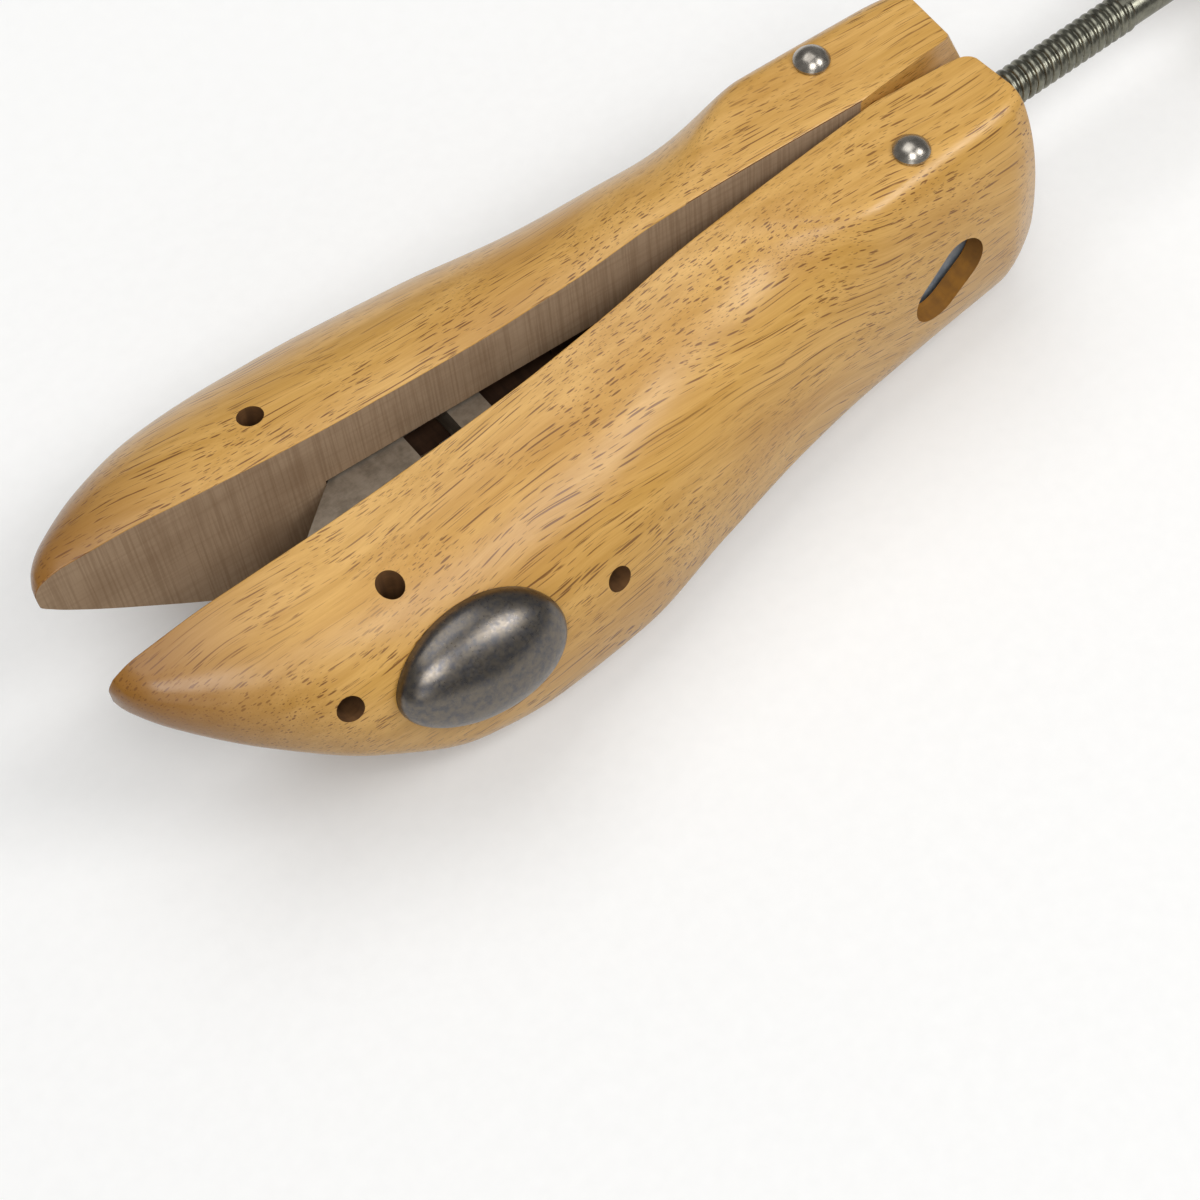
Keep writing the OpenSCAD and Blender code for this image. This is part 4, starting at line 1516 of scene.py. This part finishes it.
def dress_nodes(palette: Palette) -> None:
    """Gives every CAD node that stays its finish.

    Args:
        palette: The finishes.
    """
    finishes = {
        "hinge_yoke": palette.yoke,
        "threaded_bush": palette.brass,
        "far_pivot_rivet": palette.rivet,
        "near_pivot_rivet": palette.rivet,
        "rivet_washers": palette.zinc,
        "wedge_block": palette.plate,
        "thrust_washer": palette.brass,
        "retaining_collar": palette.zinc,
        "collar_pin": palette.zinc,
        "plug_stem": palette.zinc,
        "handle_ferrule": palette.rivet,
        "handle_washer": palette.zinc,
        "handle_nut": palette.rivet,
        "handle_pin": palette.zinc,
    }
    for name, finish in finishes.items():
        dress(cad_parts[name], finish)


@dataclass(frozen=True)
class Lamp:
    """A square soft light that points at the object, with its places and size in metres."""

    name: str
    at: Point
    size: float
    watts: float
    target: Point = (0, 0, 0.03)

    def build(self) -> None:
        """Adds the light."""
        data = bpy.data.lights.new(self.name, "AREA")
        data.shape = "SQUARE"
        data.size = self.size
        data.energy = self.watts
        obj = bpy.data.objects.new(self.name, data)
        obj.location = self.at
        aim = Vector(self.target) - Vector(self.at)
        obj.rotation_euler = aim.to_track_quat("-Z", "Y").to_euler()
        bpy.context.scene.collection.objects.link(obj)


@dataclass
class Studio:
    """Floor, soft lights and the camera fitted to the photograph."""

    lamps: tuple[Lamp, ...] = (
        Lamp("key softbox", (0.46, -0.54, 0.86), 0.42, 3.8),
        Lamp("left softbox", (-0.72, -0.88, 0.45), 0.45, 0.9),
        Lamp("top softbox", (-0.05, 0.35, 1.15), 0.9, 4.6),
        Lamp("front softbox", (-0.34, -0.6, 1.0), 0.52, 5.0),
    )
    lamp_height: float = 1.1
    lamp_share: float = 0.45  # of a seen floor's white that comes from the lamps
    lamp_centre_mm: Point = (100, 350, 0)  # shift that brings their centre on the floor to the origin
    world_light: float = 0.24
    floor_reach: float = 12.0
    floor_z: Pair = (-0.01, -0.0001)
    yaw: float = 1.0215
    pitch: float = 1.039
    roll: float = 0.1235
    aim: Point = (-85.7, -28.4, 6.5)
    distance: float = 496.4
    focal_share: float = 2692 / 1200
    sensor: float = 36

    def camera(self) -> None:
        """Adds the camera at the photographed view."""
        cp, sp = math.cos(self.pitch), math.sin(self.pitch)
        cy, sy = math.cos(self.yaw), math.sin(self.yaw)
        forward = Vector((cp * cy, cp * sy, -sp))
        right = Vector((sy, -cy, 0))
        down = forward.cross(right)
        c, s = math.cos(self.roll), math.sin(self.roll)
        x_axis = right * c + down * s
        y_axis = right * s - down * c
        data = bpy.data.cameras.new("camera")
        data.sensor_width = self.sensor
        data.lens = self.sensor * self.focal_share
        data.clip_start = 0.01
        cam = bpy.data.objects.new("camera", data)
        bpy.context.scene.collection.objects.link(cam)
        at = seated(self.aim) - forward * self.distance * MM
        rotation = Matrix((x_axis, y_axis, -forward)).transposed().to_4x4()
        cam.matrix_world = Matrix.Translation(at) @ rotation
        bpy.context.scene.camera = cam

    def far_white(self, n: Nodes, seen: Node) -> Node:
        """Light that a seen floor gives off where the lamps no longer reach it, so that it stays white.

        Args:
            n: The floor's node tree.
            seen: 1 for the rays that show the floor.

        Returns:
            The emission strength, 0 under the lamps' centre.
        """
        spot = n.place((MM, MM, 0), shift=self.lamp_centre_mm)
        away = n.add("VectorMath", [spot, spot], operation="DOT_PRODUCT")
        reach = self.lamp_height**2
        total = n.add("Math", [away, reach], operation="ADD")
        near = n.add("Math", [reach, total], operation="DIVIDE")
        lit = n.add("Math", [near, 2.0], operation="POWER")
        lost = n.add("Math", [1.0, lit], operation="SUBTRACT")
        share = n.add("Math", [lost, self.lamp_share], operation="MULTIPLY")
        return n.add("Math", [share, seen], operation="MULTIPLY")

    def floor(self) -> None:
        """Lays white paper that throws back less light on the object than its white would."""
        n = Nodes("matt white paper")
        grain = n.add("TexNoise", {"Vector": n.place((0.3, 0.3, 0.3)), "Scale": 1.0})
        white = n.add("Mix", {0: grain, 6: linear("F4F4F3"), 7: linear("EFEFEE")}, **COLOUR)
        path = n.add("LightPath")
        seen: object = path.outputs["Is Camera Ray"]
        for ray in ("Is Glossy Ray", "Is Transmission Ray"):
            seen = n.add("Math", [seen, path.outputs[ray]], operation="MAXIMUM")
        look = {
            "Base Color": n.add("Mix", {0: seen, 6: linear("8C8A88"), 7: white}, **COLOUR),
            "Roughness": 0.9,
            "Specular IOR Level": 0.1,
            "Emission Color": linear("F6F6F5"),
            "Emission Strength": self.far_white(n, seen),
        }
        outline = rectangle(-self.floor_reach, self.floor_reach, -self.floor_reach, self.floor_reach)
        sheet = prism("floor", outline, *self.floor_z, lambda u, v, h: Vector((u, v, h)))
        dress(sheet, n.finish(look))

    def build(self) -> None:
        """Builds the floor, the lights, the world and the camera."""
        self.floor()
        for lamp in self.lamps:
            lamp.build()
        world = bpy.data.worlds.new("studio")
        world.use_nodes = True
        back = world.node_tree.nodes["Background"]
        back.inputs["Color"].default_value = (1, 1, 1, 1)
        back.inputs["Strength"].default_value = self.world_light
        bpy.context.scene.world = world
        self.camera()


def main() -> None:
    """Builds the sub-assemblies in order and reports them."""
    logging.basicConfig(level=logging.INFO, format="%(message)s")
    bpy.context.scene.view_settings.view_transform = "Standard"
    palette = Palette()
    dress_nodes(palette)
    far = LastHalf(Side.FAR, (-123.3, 11.2))
    near = LastHalf(Side.NEAR, (-124.1, 16.2))
    pieces = [
        far.build(palette),
        near.build(palette),
        BunionPlug().build(palette, near),
        Spindle().build(palette),
        ReturnSpring(Side.FAR).build(palette),
        ReturnSpring(Side.NEAR).build(palette),
        Handle().build(palette),
    ]
    for piece in pieces:
        LOG.info("built %s with %d faces", piece.name, len(piece.data.polygons))
    Studio().build()


if __name__ == "__main__":
    main()
